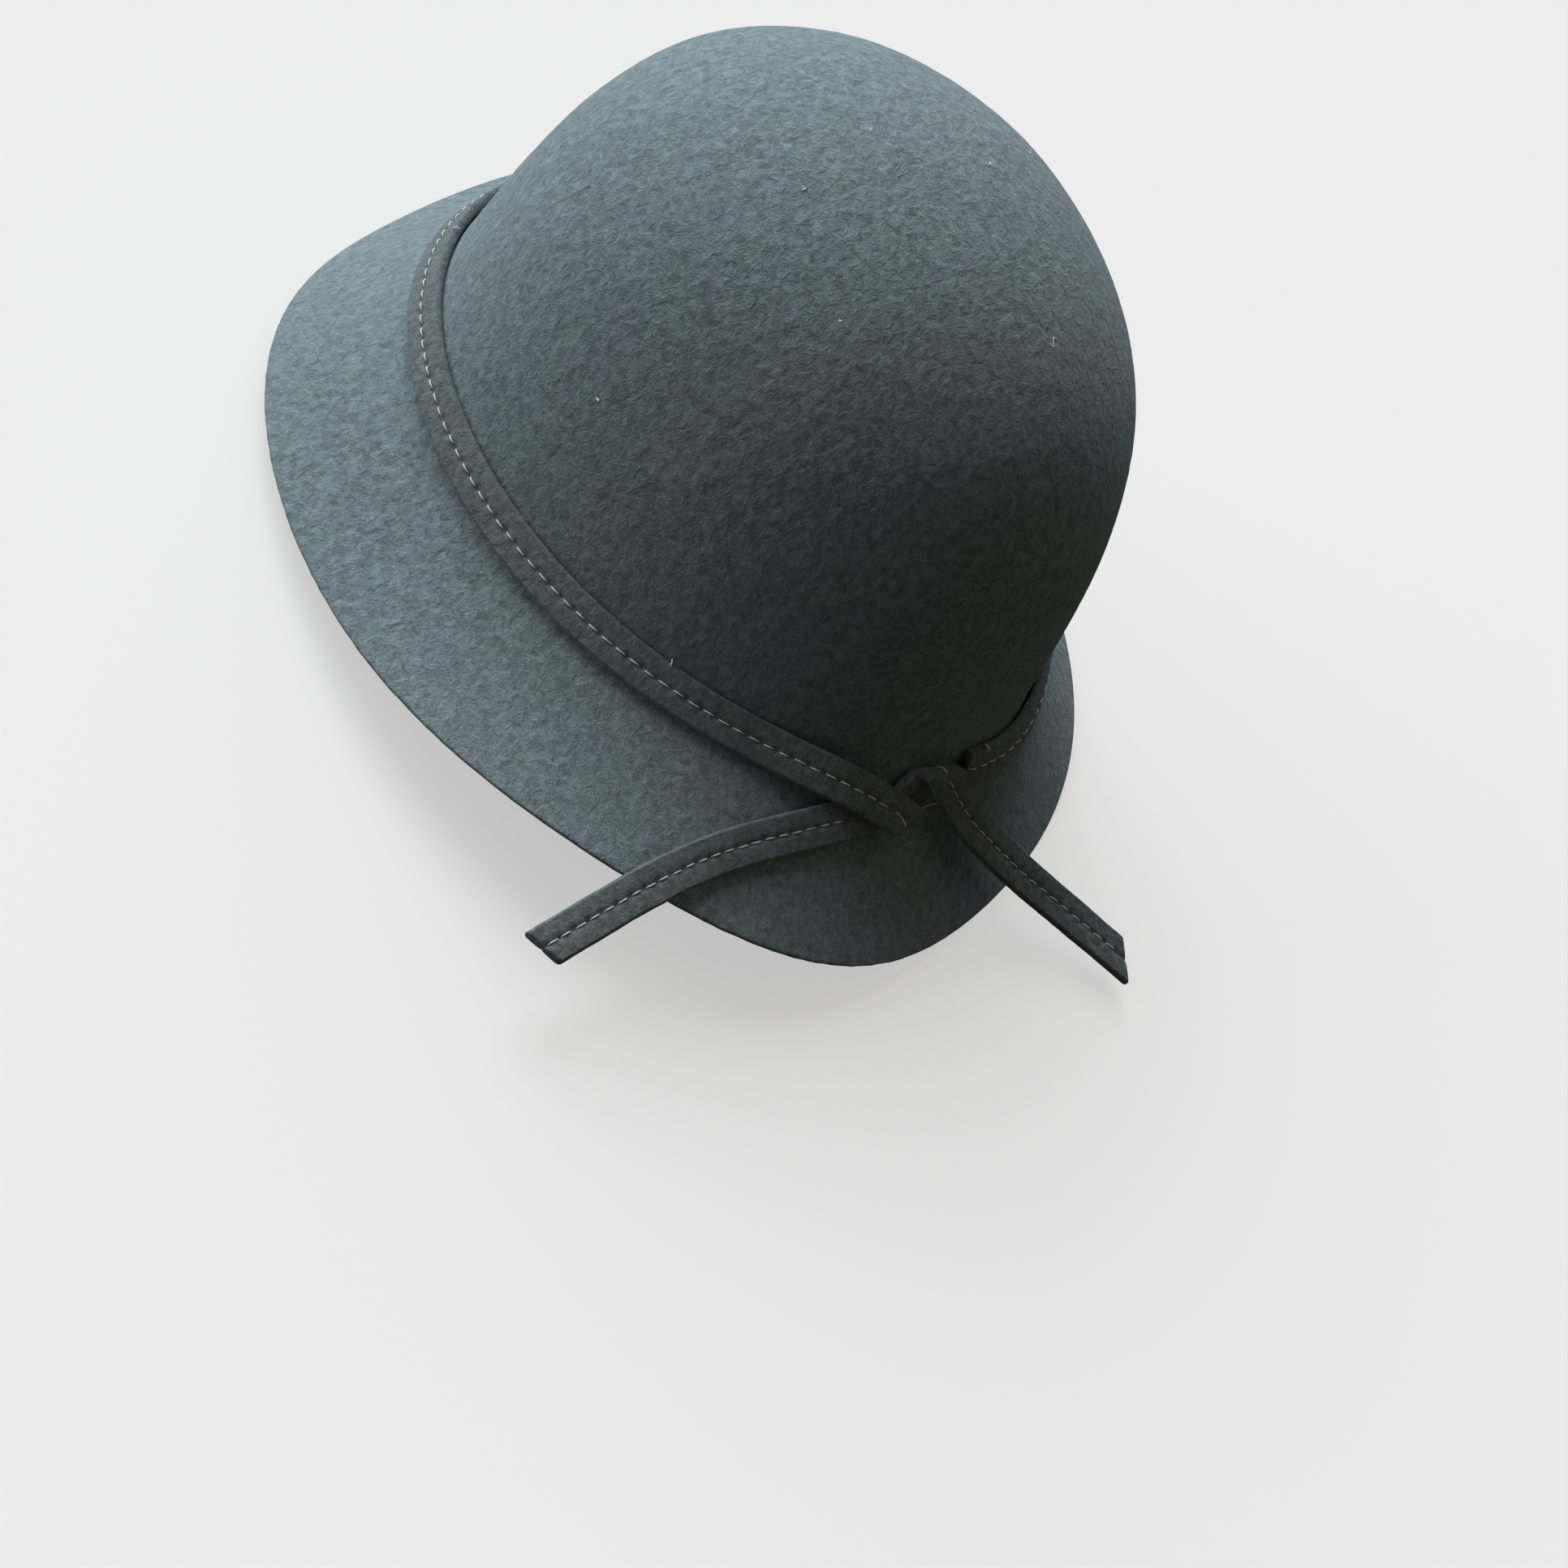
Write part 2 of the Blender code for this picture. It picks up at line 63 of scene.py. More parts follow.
# The felt's outer face: the shape rules of the CAD
FELT = 2.4 * MM
HALF_WIDTH = 86.5 * MM
HALF_LENGTH = 102.0 * MM
CROWN_HEIGHT = 117.0 * MM
CROWN_POWER = 3.0
CROWN_ROUNDNESS = 1.95
CROWN_TAPER = 0.0425
CROWN_LEAN = np.array([-3.5, -7.2]) * MM
BRIM_WIDTH = 54.4 * MM
BRIM_EXTRA_BACK = 1.7 * MM
BRIM_NECK = np.array([1.0, 10.0]) * MM
BRIM_FLARE = 22.0 * MM
FLARE_ANGLE = 10.0
DROOP = 41.0
DROOP_EXTRA_FRONT = 2.3
DROOP_WAVE = (15.8, 2, 20.0)  # size, number of waves round the hat, and their turn
DROOP_RIPPLE = (4.5, 4, -10.0)
CAD_ANGLE_STEP = 5.0

# The felt as a fine mesh
FELT_COLUMNS = 560
CROWN_ROWS = 140
CROWN_ARC_STEPS = 4000
BRIM_ROWS = 46
EDGE_ROWS = 6
EDGE_ROUND = 0.7 * MM
EDGE_REACH = 66.0 * MM
EDGE_RAGGED = 0.16 * MM
EDGE_RAGGED_SIZE = 3.0 * MM
EDGE_PRESS = 0.42
EDGE_PRESS_REACH = 5.0 * MM
NAP_RELIEF = 0.10 * MM
NAP_SIZE = 2.2 * MM
SOFT_RELIEF = 0.45 * MM
SOFT_SIZE = 34.0 * MM
SOFT_ABOVE = (0.08, 0.35)

# Felt strips
STRIP_WIDTH = 11.0 * MM
STRIP_THICK = 3.0 * MM
STRIP_CORNER = 0.9 * MM
STRIP_PILLOW = 0.12 * MM
GROOVE_WIDTH = 0.8 * MM
GROOVE_DEPTH = 0.32 * MM
PUCKER_WIDTH = 1.5 * MM
PUCKER_DEPTH = 0.45 * MM
STRIP_STEP = 0.6 * MM
STRIP_FUZZ = 0.07 * MM
STRIP_FUZZ_SIZE = 1.4 * MM
STRIP_SWELL = 0.112 * MM
STRIP_SWELL_SIZE = 5.6 * MM
STRIP_CORE = 0.6
FACE_POINTS = 25
SIDE_POINTS = 6
SIDE_TURN = 75.0
END_ROUND = 0.6 * MM
END_STEPS = np.array([0.0, 0.12, 0.35, 0.65])
END_THINNING = 0.28
END_NARROWING = 0.35
END_POWER = 2.5
SKEW_RUN = 9.0 * MM
LAY = 0.5 * MM
STRIP_LIFT = LAY + STRIP_THICK / 2
OVER_LIFT = STRIP_LIFT + STRIP_THICK + 0.7 * MM
HALF_BRIDGE = 0.12
ANGLE_NUDGE = 0.5
RISE_NUDGE = 0.005

# The band's path
BAND_REACH = 0.15
BAND_START = 171.0
BAND_ANGLE_STEP = 0.5
BAND_LEAVES = 475.0
BAND_END = 519.0
BAND_END_REACH = 0.435
BAND_RISES = 489.0
BAND_RISEN = 505.0
BAND_END_SKEW = 0.75
BAND_END_TRIM = 2.1 * MM
BAND_SLIP_ANGLE = 186.0
BAND_SLIP_SPAN = 14.0
BAND_SLIP_REACH = 0.05
BAND_SLIP_LIFT = 0.6 * MM

# The tie's path: from the left tail's tip over the fold to the right tail's tip
FOLD_PLACE = (161.6, 0.13, STRIP_LIFT + 0.9 * MM)
FOLD_ANGLE = 49.0
FOLD_LEG_PLACES = ((150.5, 0.395, STRIP_LIFT), (156.6, 0.290, STRIP_LIFT + 0.5 * MM))
LEFT_HINGE_PLACE = (144.0, 0.47, STRIP_LIFT)
RIGHT_HINGE_PLACE = (168.0, 0.33, 5.6 * MM)
LEFT_TAIL_PLACES = ((131.0, 0.71, 2.5 * MM), (123.5, 1.00, 4.0 * MM), (116.8, 1.49, 3.5 * MM))
RIGHT_TAIL_PLACES = (
    (171.0, 0.47, 7.5 * MM),
    (178.5, 0.74, 11.0 * MM),
    (184.5, 1.05, 20.0 * MM),
    (187.7, 1.33, 31.5 * MM),
)
LEFT_FACE_TIP = np.array([0.30, 0.10, 0.95])
RIGHT_FACE_TIP = np.array([0.10, 0.45, 0.88])
LEFT_TIP_SKEW = -0.35
RIGHT_TIP_SKEW = 0.75
CURL_RADIUS = 1.75 * MM
FOLD_BLEND = (17.0 * MM, 9.0 * MM)  # before the crease
UNFOLD_BLEND = (0.25, 1.1)  # after the fold, as shares of the way to the right tail's hinge
TAIL_STEPS = 120
TAIL_SMOOTHING = 9.0 * MM
TIE_SPLIT = 7.0 * MM
HINGE_HALF = 5.0 * MM

# Running stitches
STITCH_PITCH = 4.6 * MM
STITCH_LENGTH = 3.3 * MM
STITCH_RADIUS = 0.21 * MM
STITCH_SINK = 0.45 * MM
STITCH_RISE = 0.35 * MM
STITCH_RINGS = 9
STITCH_ARCH_POWER = 0.55
STITCH_TIP = 0.55
STITCH_TAPER_POWER = 0.4
STITCH_WANDER = 0.15 * MM
STITCH_UNEVEN = 0.25 * MM
STITCH_DRIFT = 0.12 * MM
SEWN_FROM = 1.2 * MM
SEWN_AFTER_CREASE = 0.3
SEWN_TO_TIP = 1.0 * MM
THREAD_SIDES = 10
THREAD_TWIST = 1.6 * MM
THREAD_PLY = 0.16
THREAD_CURVE_STEPS = 24
THREAD_RINGS = 22
THREAD_STEP = 0.2 * MM
THREAD_END = 0.7

# Tacks that hold the band, the knot's thread and the fluff that clings to the felt
TACK_ANGLES = (22.0, 113.0, 175.0, 292.0)
TACK_RADIUS = 0.24 * MM
TACK_ALONG = np.array([0.5, 0.2, 0.0, -0.2, -0.3]) * MM
TACK_ACROSS = np.array([-1.0, -0.35, 0.35, 0.75, 0.8]) * MM
TACK_ABOVE = np.array([-0.35, 0.22, 0.15, -0.5, -1.3]) * MM
KNOT_THREAD = ((160.2, 0.345, 5.4 * MM), (161.6, 0.335, 4.6 * MM), (163.4, 0.315, 5.6 * MM))
KNOT_THREAD_RADIUS = 0.13 * MM
LOOSE_END_BACK = np.array([7.6, 5.2, 2.6]) * MM
LOOSE_END_ACROSS = np.array([0.2, -0.5, -1.7]) * MM
LOOSE_END_ABOVE = np.array([-0.2, 0.1, 0.1]) * MM
LOOSE_END_RADIUS = 0.168 * MM
CROWN_LINT = (
    (50.0, 0.971, 0.32 * MM),
    (73.0, 0.891, 0.40 * MM),
    (237.2, 0.997, 0.30 * MM),
    (264.0, 0.944, 0.36 * MM),
    (80.2, 0.346, 0.34 * MM),
    (103.8, 0.81, 0.28 * MM),
)
CROWN_FIBRE = ((170.0, 0.898), (168.6, 0.902), (167.4, 0.893), (166.0, 0.896))
CROWN_FIBRE_LIFT = 0.25 * MM
CROWN_FIBRE_RADIUS = 0.091 * MM
LINT_FIBRES = 5
LINT_LIFT = 0.6
LINT_TANGLE = 0.75
LINT_RADIUS = 0.07 * MM

# Sweatband and size tab
RIBBON_HEIGHT = 28.0 * MM
RIBBON_THICK = 0.8 * MM
RIBBON_LOW = 3.0 * MM
RIBBON_START = 186.0
RIBBON_LAP = 7.0
RIBBON_LAP_RAMP = 12.0
RIBBON_STOP = RIBBON_START + 360 + RIBBON_LAP
RIB_PITCH = 1.0 * MM
RIB_COLUMNS = 6
RIB_RELIEF = 0.10 * MM
SELVEDGE = 1.4 * MM
SELVEDGE_PLAIN = 0.8
SEWING_LOW = 2.5 * MM
SEWING_START = 15.0
SEWING_STOP = 5.0
SEWING_SINK = 0.15 * MM
SEAM_BACK = 2.0
SEAM_MARGIN = 4.5 * MM
SEAM_STEPS = 30
WALL_STITCH = 0.8
WALL_STITCH_START = 0.15
WALL_STITCH_WANDER = 0.2 * MM
WALL_STITCH_SINK = 0.25 * MM
WALL_STITCH_RISE = 0.15 * MM
TAB_ANGLE = 206.0
TAB_TOP = 26.0 * MM
TAB_STAND_OFF = 1.1 * MM
TAB_SEWING_MARGIN = 2.0 * MM
TAB_CURL = 0.9 * MM
TAB_CURL_BACK = 0.35
TAB_CURL_TWIST = 0.25
TAB_GRID = (28, 26)
TAB_WIDTH = 20.0 * MM
TAB_LENGTH = 17.0 * MM
TAB_THICK = 0.5 * MM
TAB_SELVEDGE = 0.9 * MM
TAB_THINNING = 0.35
TAB_SEWING_ABOVE = 0.25 * MM
TAB_STITCH_PITCH = 2.76 * MM
TAB_STITCH_LENGTH = 1.815 * MM
TAB_STITCH_SINK = 0.15 * MM
TAB_STITCH_RISE = 0.10 * MM
GAP = 0.3 * MM

# Seeds that keep every random draw the same from run to run
SEED_SHIFT = (7.3, 3.1, 5.7)
SOFT_SEED = 3
NAP_SEED = 5
EDGE_SEED = 11
BAND_SEED = 21
LEFT_SEED = 31
RIGHT_SEED = 41
BAND_STITCH_SEED = 5
TIE_STITCH_SEED = 6
SWEATBAND_STITCH_SEED = 7
LINT_SEED = 9


# ---- the felt's outer face ----


def unit(vectors):
    return vectors / np.linalg.norm(vectors, axis=-1, keepdims=True)


def head_oval(angle):
    """The band line's points, and the directions straight out from them, in plan."""
    turn = np.radians(angle)
    place = np.stack([HALF_WIDTH * np.sin(turn), -HALF_LENGTH * np.cos(turn)], -1)
    out = np.stack([np.sin(turn) / HALF_WIDTH, -np.cos(turn) / HALF_LENGTH], -1)
    return place, unit(out)


def together(*values):
    """The values as arrays of one shape."""
    return np.broadcast_arrays(*(np.asarray(value, float) for value in values))


def wave(angle, size, count, turn):
    return size * np.cos(count * np.radians(angle - turn))


def droop_angle(angle):
    front = DROOP_EXTRA_FRONT * np.cos(np.radians(angle))
    return np.radians(DROOP + front + wave(angle, *DROOP_WAVE) + wave(angle, *DROOP_RIPPLE))


def brim_from_axis(angle, reach):
    """Points down the brim, counted from the hat's axis at the band line."""
    angle, reach = together(angle, reach)
    droop = droop_angle(angle)
    slope = droop - math.radians(FLARE_ANGLE)
    width = (BRIM_WIDTH - BRIM_EXTRA_BACK * np.cos(np.radians(angle)))[..., None]
    edge = width * np.stack([np.cos(droop), np.sin(droop)], -1)
    flare = edge - BRIM_FLARE * np.stack([np.cos(slope), np.sin(slope)], -1)
    t = np.minimum(reach, 1.0)[..., None]
    curve = 3 * t * (1 - t) ** 2 * BRIM_NECK + 3 * t * t * (1 - t) * flare + t**3 * edge
    curve = curve + 3 * (np.maximum(reach, 1.0) - 1.0)[..., None] * (edge - flare)
    place, out = head_oval(angle)
    flat = place + out * curve[..., :1]
    return np.concatenate([flat, -curve[..., 1:]], -1)


def find_axis():
    """Where the hat's axis meets the band line, from the frame's box round the felt."""
    low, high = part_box("felt_body")
    edge = brim_from_axis(np.arange(0.0, 360.0, CAD_ANGLE_STEP), 1.0)
    middle = (edge.min(0) + edge.max(0)) / 2
    centre = (low + high) / 2
    return np.array([centre.x - middle[0], centre.y - middle[1], high.z - CROWN_HEIGHT])


AXIS = find_axis()


def brim_point(angle, reach):
    return AXIS + brim_from_axis(angle, reach)


def crown_point(angle, rise):
    """Points on the crown: rise is 0 at the band line and 1 at the top."""
    angle, rise = together(angle, rise)
    place, _ = head_oval(angle)
    round_off = (1 - rise**CROWN_POWER) ** (1 / CROWN_ROUNDNESS)
    shrink = round_off * (1 - CROWN_TAPER * np.sin(np.pi * rise))
    flat = place * shrink[..., None] + CROWN_LEAN * rise[..., None]
    return AXIS + np.concatenate([flat, CROWN_HEIGHT * rise[..., None]], -1)


def station(angle, reach, lift):
    """A strip's places: lifted off the chord that the strip bridges, with the chord's normals."""
    angle, reach, lift = together(angle, reach, lift)
    upper = brim_point(angle, np.maximum(reach - HALF_BRIDGE, 0.0))
    lower = brim_point(angle, reach + HALF_BRIDGE)
    round_step = brim_point(angle + ANGLE_NUDGE, reach) - brim_point(angle - ANGLE_NUDGE, reach)
    normal = unit(np.cross(lower - upper, round_step))
    return (upper + lower) / 2 + normal * lift[..., None], normal


def crown_normal(angle, rise):
    higher = crown_point(angle, np.minimum(rise + RISE_NUDGE, 1.0))
    down = crown_point(angle, rise - RISE_NUDGE) - higher
    turn = crown_point(angle + ANGLE_NUDGE, rise) - crown_point(angle - ANGLE_NUDGE, rise)
    return unit(np.cross(down, turn))


def wall_station(angle, height, inset):
    """Points inside the crown wall: height is above the band line, inset is in from outside."""
    rise = np.asarray(height, float) / CROWN_HEIGHT
    inset = np.asarray(inset, float)[..., None]
    return crown_point(angle, rise) - crown_normal(angle, rise) * inset


# ---- mesh helpers ----


def ease(value, low, high):
    t = np.clip((value - low) / (high - low), 0.0, 1.0)
    return t * t * (3 - 2 * t)


def noise_at(points, size, seed):
    """Smooth noise from about -1 to 1 at each point; size is the width of its features."""
    shift = Vector([seed * step for step in SEED_SHIFT])
    flat = points.reshape(-1, 3) / size
    values = [noise.noise(Vector(point) + shift) for point in flat]
    return np.array(values).reshape(points.shape[:-1])


def grid_quads(rows, columns, first=0):
    """Quads between rings of vertices, the last column joined to the first."""
    r = np.arange(rows - 1)[:, None]
    c = np.arange(columns)[None, :]
    d = (c + 1) % columns
    corners = [r * columns + c, r * columns + d, (r + 1) * columns + d, (r + 1) * columns + c]
    return (first + np.stack([x + 0 * c for x in corners], -1).reshape(-1, 4)).tolist()


def tube_faces(rows, columns, first=0):
    """Quads round a closed tube of rings, and a flat cap at each end."""
    last = first + (rows - 1) * columns
    caps = [list(range(first, first + columns))[::-1], list(range(last, last + columns))]
    return grid_quads(rows, columns, first) + caps


def add_object(name, data):
    thing = bpy.data.objects.new(name, data)
    bpy.context.scene.collection.objects.link(thing)
    return thing


def make_piece(name, points, faces, material):
    mesh = bpy.data.meshes.new(name)
    mesh.from_pydata(np.asarray(points, float).reshape(-1, 3).tolist(), [], faces)
    mesh.validate()
    mesh.materials.append(material)
    mesh.shade_smooth()
    return add_object(name, mesh)


def make_tube(name, rings, material):
    return make_piece(name, rings, tube_faces(*rings.shape[:2]), material)


def stand_in(piece, *nodes, body="hat"):
    """Shows a piece instead of plain CAD nodes, on the body that they ride."""
    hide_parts(*nodes)
    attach(piece, body)


def join_pieces(pieces, name):
    """Joins several meshes into the first, under one name."""
    bpy.ops.object.select_all(action="DESELECT")
    for piece in pieces:
        piece.select_set(True)
    bpy.context.view_layer.objects.active = pieces[0]
    bpy.ops.object.join()
    pieces[0].name = name
    return pieces[0]


# ---- materials ----

BLACK = (0.0, 0.0, 0.0)
WHITE = (1.0, 1.0, 1.0)
FELT_COLOUR = (0.103, 0.132, 0.145)
STRIP_COLOUR = (0.075, 0.090, 0.094)
GREEN_CAST = (0.975, 1.02, 0.985)
BLUE_CAST = (0.99, 1.00, 1.04)
FELT_NAP = 2.3 * MM
FELT_RELIEF = 0.95 * MM
STRIP_NAP = 2.0 * MM
STRIP_RELIEF = 0.75 * MM
NAP_BRUSHED = (1.0, 1.0, 0.8)
NAP_DARK = 0.60
NAP_LIGHT = 1.48
FIBRE_SIZE = 0.33
FIBRE_SHARE = 0.35
FLECK_SHARE = 0.22
FLECK_LIGHT = 3.0
TUFT_SIZE = 3.0
MOTTLE_SIZE = 9.0 * MM


class Nodes:
    """A material's node tree, with short calls for the nodes that cloth needs."""

    def __init__(self, name, roughness):
        self.material = bpy.data.materials.new(name)
        self.material.use_nodes = True
        self.tree = self.material.node_tree
        self.shader = self.tree.nodes["Principled BSDF"]
        self.set("Roughness", roughness)
        self.set("Specular IOR Level", 0.15)
        self.place = self.add("ShaderNodeTexCoord").outputs["Object"]

    def add(self, kind, **settings):
        node = self.tree.nodes.new(kind)
        for key, value in settings.items():
            setattr(node, key, value)
        return node

    def link(self, source, target):
        self.tree.links.new(source, target)

    def scaled(self, source, scale):
        node = self.add("ShaderNodeMapping")
        node.inputs["Scale"].default_value = scale
        self.link(source, node.inputs["Vector"])
        return node.outputs["Vector"]

    def noise(self, source, size, detail=2.0, rough=0.5, curl=0.0):
        """Noise from 0 to 1 whose features are about size across; curl winds it about itself."""
        node = self.add("ShaderNodeTexNoise")
        node.inputs["Scale"].default_value = 1 / size
        node.inputs["Detail"].default_value = detail
        node.inputs["Roughness"].default_value = rough
        node.inputs["Distortion"].default_value = curl
        self.link(source, node.inputs["Vector"])
        return node.outputs["Fac"]

    def ramp(self, source, stops):
        node = self.add("ShaderNodeValToRGB")
        ramp = node.color_ramp
        while len(ramp.elements) < len(stops):
            ramp.elements.new(1.0)
        for element, (position, colour) in zip(ramp.elements, stops):
            element.position = position
            element.color = (*colour, 1.0)
        self.link(source, node.inputs["Fac"])
        return node.outputs["Color"]

    def feed(self, socket, value):
        """Sets a socket from another node's output, a colour or a number."""
        if isinstance(value, bpy.types.NodeSocket):
            self.link(value, socket)
        elif isinstance(value, tuple):
            socket.default_value = (*value, 1.0)
        else:
            socket.default_value = value

    def set(self, name, value):
        """Feeds one of the shader's inputs."""
        self.feed(self.shader.inputs[name], value)

    def mix(self, share, first, second, blend="MIX"):
        """Mixes two colours."""
        node = self.add("ShaderNodeMix", data_type="RGBA", blend_type=blend)
        self.feed(node.inputs[0], share)
        self.feed(node.inputs[6], first)
        self.feed(node.inputs[7], second)
        return node.outputs[2]

    def times(self, first, second):
        node = self.add("ShaderNodeMath", operation="MULTIPLY")
        self.feed(node.inputs[0], first)
        self.feed(node.inputs[1], second)
        return node.outputs["Value"]

    def bump(self, height, distance, strength, under=None):
        node = self.add("ShaderNodeBump")
        node.inputs["Strength"].default_value = strength
        node.inputs["Distance"].default_value = distance
        self.link(height, node.inputs["Height"])
        if under is not None:
            self.link(under, node.inputs["Normal"])
        return node.outputs["Normal"]

    def sheen(self, weight, roughness, tint):
        self.set("Sheen Weight", weight)
        self.set("Sheen Roughness", roughness)
        self.set("Sheen Tint", tint)

    def finish(self, colour, normal):
        self.set("Base Color", colour)
        self.set("Normal", normal)
        return self.material


def shade(colour, factor):
    return tuple(channel * factor for channel in colour)


def felt_material(name, colour, nap_size, relief):
    """Blocked wool felt: short matted fibres in heathered tones of one colour."""
    nodes = Nodes(name, roughness=0.95)
    brushed = nodes.scaled(nodes.place, NAP_BRUSHED)
    nap = nodes.noise(brushed, nap_size, detail=3.0, rough=0.62, curl=0.7)
    fibre = nodes.noise(brushed, nap_size * FIBRE_SIZE, detail=2.0, rough=0.5, curl=1.6)
    tuft = nodes.noise(brushed, nap_size * TUFT_SIZE, detail=2.0, curl=0.5)
    mottle = nodes.noise(nodes.place, MOTTLE_SIZE, detail=3.0, rough=0.65)
    pile = nodes.mix(FIBRE_SHARE, nap, fibre)
    tones = [(0.34, shade(colour, NAP_DARK)), (0.50, colour), (0.67, shade(colour, NAP_LIGHT))]
    hue = nodes.ramp(mottle, [(0.38, GREEN_CAST), (0.62, BLUE_CAST)])
    toned = nodes.mix(1.0, nodes.ramp(pile, tones), hue, "MULTIPLY")
    pale = nodes.ramp(fibre, [(0.62, BLACK), (0.78, WHITE)])
    flecked = nodes.mix(nodes.times(pale, FLECK_SHARE), toned, shade(colour, FLECK_LIGHT))
    deep = nodes.bump(tuft, distance=relief * 2, strength=0.4)
    fine = nodes.bump(pile, distance=relief, strength=1.0, under=deep)
    nodes.sheen(0.20, 0.55, (0.55, 0.66, 0.72))
    return nodes.finish(flecked, fine)


def thread_material():
    """Light grey cotton thread with a twisted ply and a few darker fibres."""
    nodes = Nodes("sewing_thread", roughness=0.75)
    fibre = nodes.noise(nodes.scaled(nodes.place, (1.0, 1.0, 1.6)), 0.25 * MM)
    dark, mid, light = (0.28, 0.30, 0.31), (0.53, 0.56, 0.57), (0.76, 0.79, 0.80)
    colour = nodes.ramp(fibre, [(0.30, dark), (0.55, mid), (0.75, light)])
    nodes.sheen(0.2, 0.4, (0.9, 0.9, 0.9))
    return nodes.finish(colour, nodes.bump(fibre, 0.08 * MM, 0.6))


def grosgrain_material():
    """Black ribbon: fine silky filaments over the woven ribs."""
    nodes = Nodes("grosgrain_ribbon", roughness=0.5)
    weave = nodes.noise(nodes.scaled(nodes.place, (1.0, 1.0, 3.0)), 0.4 * MM, detail=3.0)
    colour = nodes.ramp(weave, [(0.3, (0.010, 0.011, 0.012)), (0.7, (0.032, 0.034, 0.037))])
    nodes.sheen(0.3, 0.4, (0.4, 0.42, 0.45))
    return nodes.finish(colour, nodes.bump(weave, 0.1 * MM, 0.5))


def satin_material():
    """Off-white satin tape: smooth floats that run along the tab."""
    nodes = Nodes("tab_satin", roughness=0.35)
    floats = nodes.noise(nodes.scaled(nodes.place, (4.0, 4.0, 0.4)), 0.5 * MM, detail=3.0)
    colour = nodes.ramp(floats, [(0.3, (0.60, 0.60, 0.58)), (0.7, (0.80, 0.80, 0.77))])
    nodes.sheen(0.2, 0.3, WHITE)
    return nodes.finish(colour, nodes.bump(floats, 0.05 * MM, 0.5))


def lint_material():
    """White fluff, unevenly dense."""
    nodes = Nodes("white_lint", roughness=0.9)
    fluff = nodes.noise(nodes.place, 0.3 * MM)
    colour = nodes.ramp(fluff, [(0.3, (0.62, 0.66, 0.66)), (0.7, (0.90, 0.92, 0.92))])
    return nodes.finish(colour, nodes.bump(fluff, 0.05 * MM, 0.4))


# ---- felt hood ----


def crown_rises():
    """Rises from the top of the crown down to the band line, in even steps along the felt."""
    swing = np.linspace(math.pi / 2, 0.0, CROWN_ARC_STEPS)
    rise = np.sin(swing) ** (2 / CROWN_POWER)
    shrink = np.maximum(1 - rise**CROWN_POWER, 0.0) ** (1 / CROWN_ROUNDNESS)
    steps = np.hypot(np.diff(shrink) * (HALF_WIDTH + HALF_LENGTH) / 2, np.diff(rise) * CROWN_HEIGHT)
    arc = np.concatenate([[0.0], np.cumsum(steps)])
    even = np.linspace(0.0, arc[-1], CROWN_ROWS + 1)
    return np.interp(even[1:], arc, rise)


def outer_felt():
    """The felt's outer face as a grid: rows run from near the top of the crown to the brim."""
    angles = np.arange(FELT_COLUMNS) * 360.0 / FELT_COLUMNS
    crown = [crown_point(angles, rise) for rise in crown_rises()]
    last = 1.0 - EDGE_ROUND / EDGE_REACH
    brim = [brim_point(angles, reach) for reach in np.linspace(0.0, last, BRIM_ROWS + 1)[1:]]
    return np.array(crown + brim)


def grid_normals(grid):
    along = np.roll(grid, -1, axis=1) - np.roll(grid, 1, axis=1)
    down = np.gradient(grid, axis=0)
    return unit(np.cross(down, along))


def felt_thickness(outer):
    """Thickness of each row of the felt, pressed thinner close to the raw edge."""
    reach = np.linalg.norm(outer - outer[-1], axis=-1).mean(1)
    return FELT * (1.0 - EDGE_PRESS * (1.0 - ease(reach, 0.0, EDGE_PRESS_REACH)))


def felt_edge(outer, normals, thick):
    """Rows that round the raw-cut edge, from the outer face to the inner one."""
    travel = unit(outer[-1] - outer[-2])
    ragged = EDGE_RAGGED * noise_at(outer[-1], EDGE_RAGGED_SIZE, EDGE_SEED)[:, None]
    turn = np.linspace(0.0, math.pi, EDGE_ROWS + 1)[1:-1, None, None]
    out = EDGE_ROUND * np.sqrt(np.sin(turn)) + ragged * np.sin(turn)
    down = thick / 2 * (1 - np.cos(turn))
    return outer[-1] + travel * out - normals[-1] * down


def felt_relief(outer):
    """How far the felt stands off its blocked shape: slow unevenness on the crown, and the nap."""
    rise = np.linspace(1.0, 0.0, CROWN_ROWS)
    soft = np.concatenate([ease(rise, *SOFT_ABOVE), np.zeros(BRIM_ROWS)])[:, None]
    uneven = SOFT_RELIEF * soft * noise_at(outer, SOFT_SIZE, SOFT_SEED)
    return uneven + NAP_RELIEF * noise_at(outer, NAP_SIZE, NAP_SEED)


def make_felt_hood(material):
    """The blocked hood, crown and brim in one, with its thickness and raw edge."""
    outer = outer_felt()
    normals = grid_normals(outer)
    relief = felt_relief(outer)
    thick = felt_thickness(outer)
    inner = (outer - normals * thick[:, None, None])[::-1]
    edge = felt_edge(outer, normals, thick[-1])
    grid = np.concatenate([outer + normals * relief[..., None], edge, inner])
    grid[..., 2] = np.maximum(grid[..., 2], 0.0)
    top = outer[0].mean(0)
    outer_pole = AXIS + np.array([*CROWN_LEAN, CROWN_HEIGHT]) + [0, 0, relief[0].mean()]
    inner_pole = np.array([top[0], top[1], outer_pole[2] - FELT])
    rows, columns = grid.shape[:2]
    faces = grid_quads(rows, columns, first=1)
    last = 1 + (rows - 1) * columns
    for i in range(columns):
        j = (i + 1) % columns
        faces.append([0, 1 + j, 1 + i])
        faces.append([last + columns, last + i, last + j])
    points = np.concatenate([[outer_pole], grid.reshape(-1, 3), [inner_pole]])
    hood = make_piece("felt_hood", points, [face[::-1] for face in faces], material)
    stand_in(hood, "felt_body")


# ---- felt strips ----


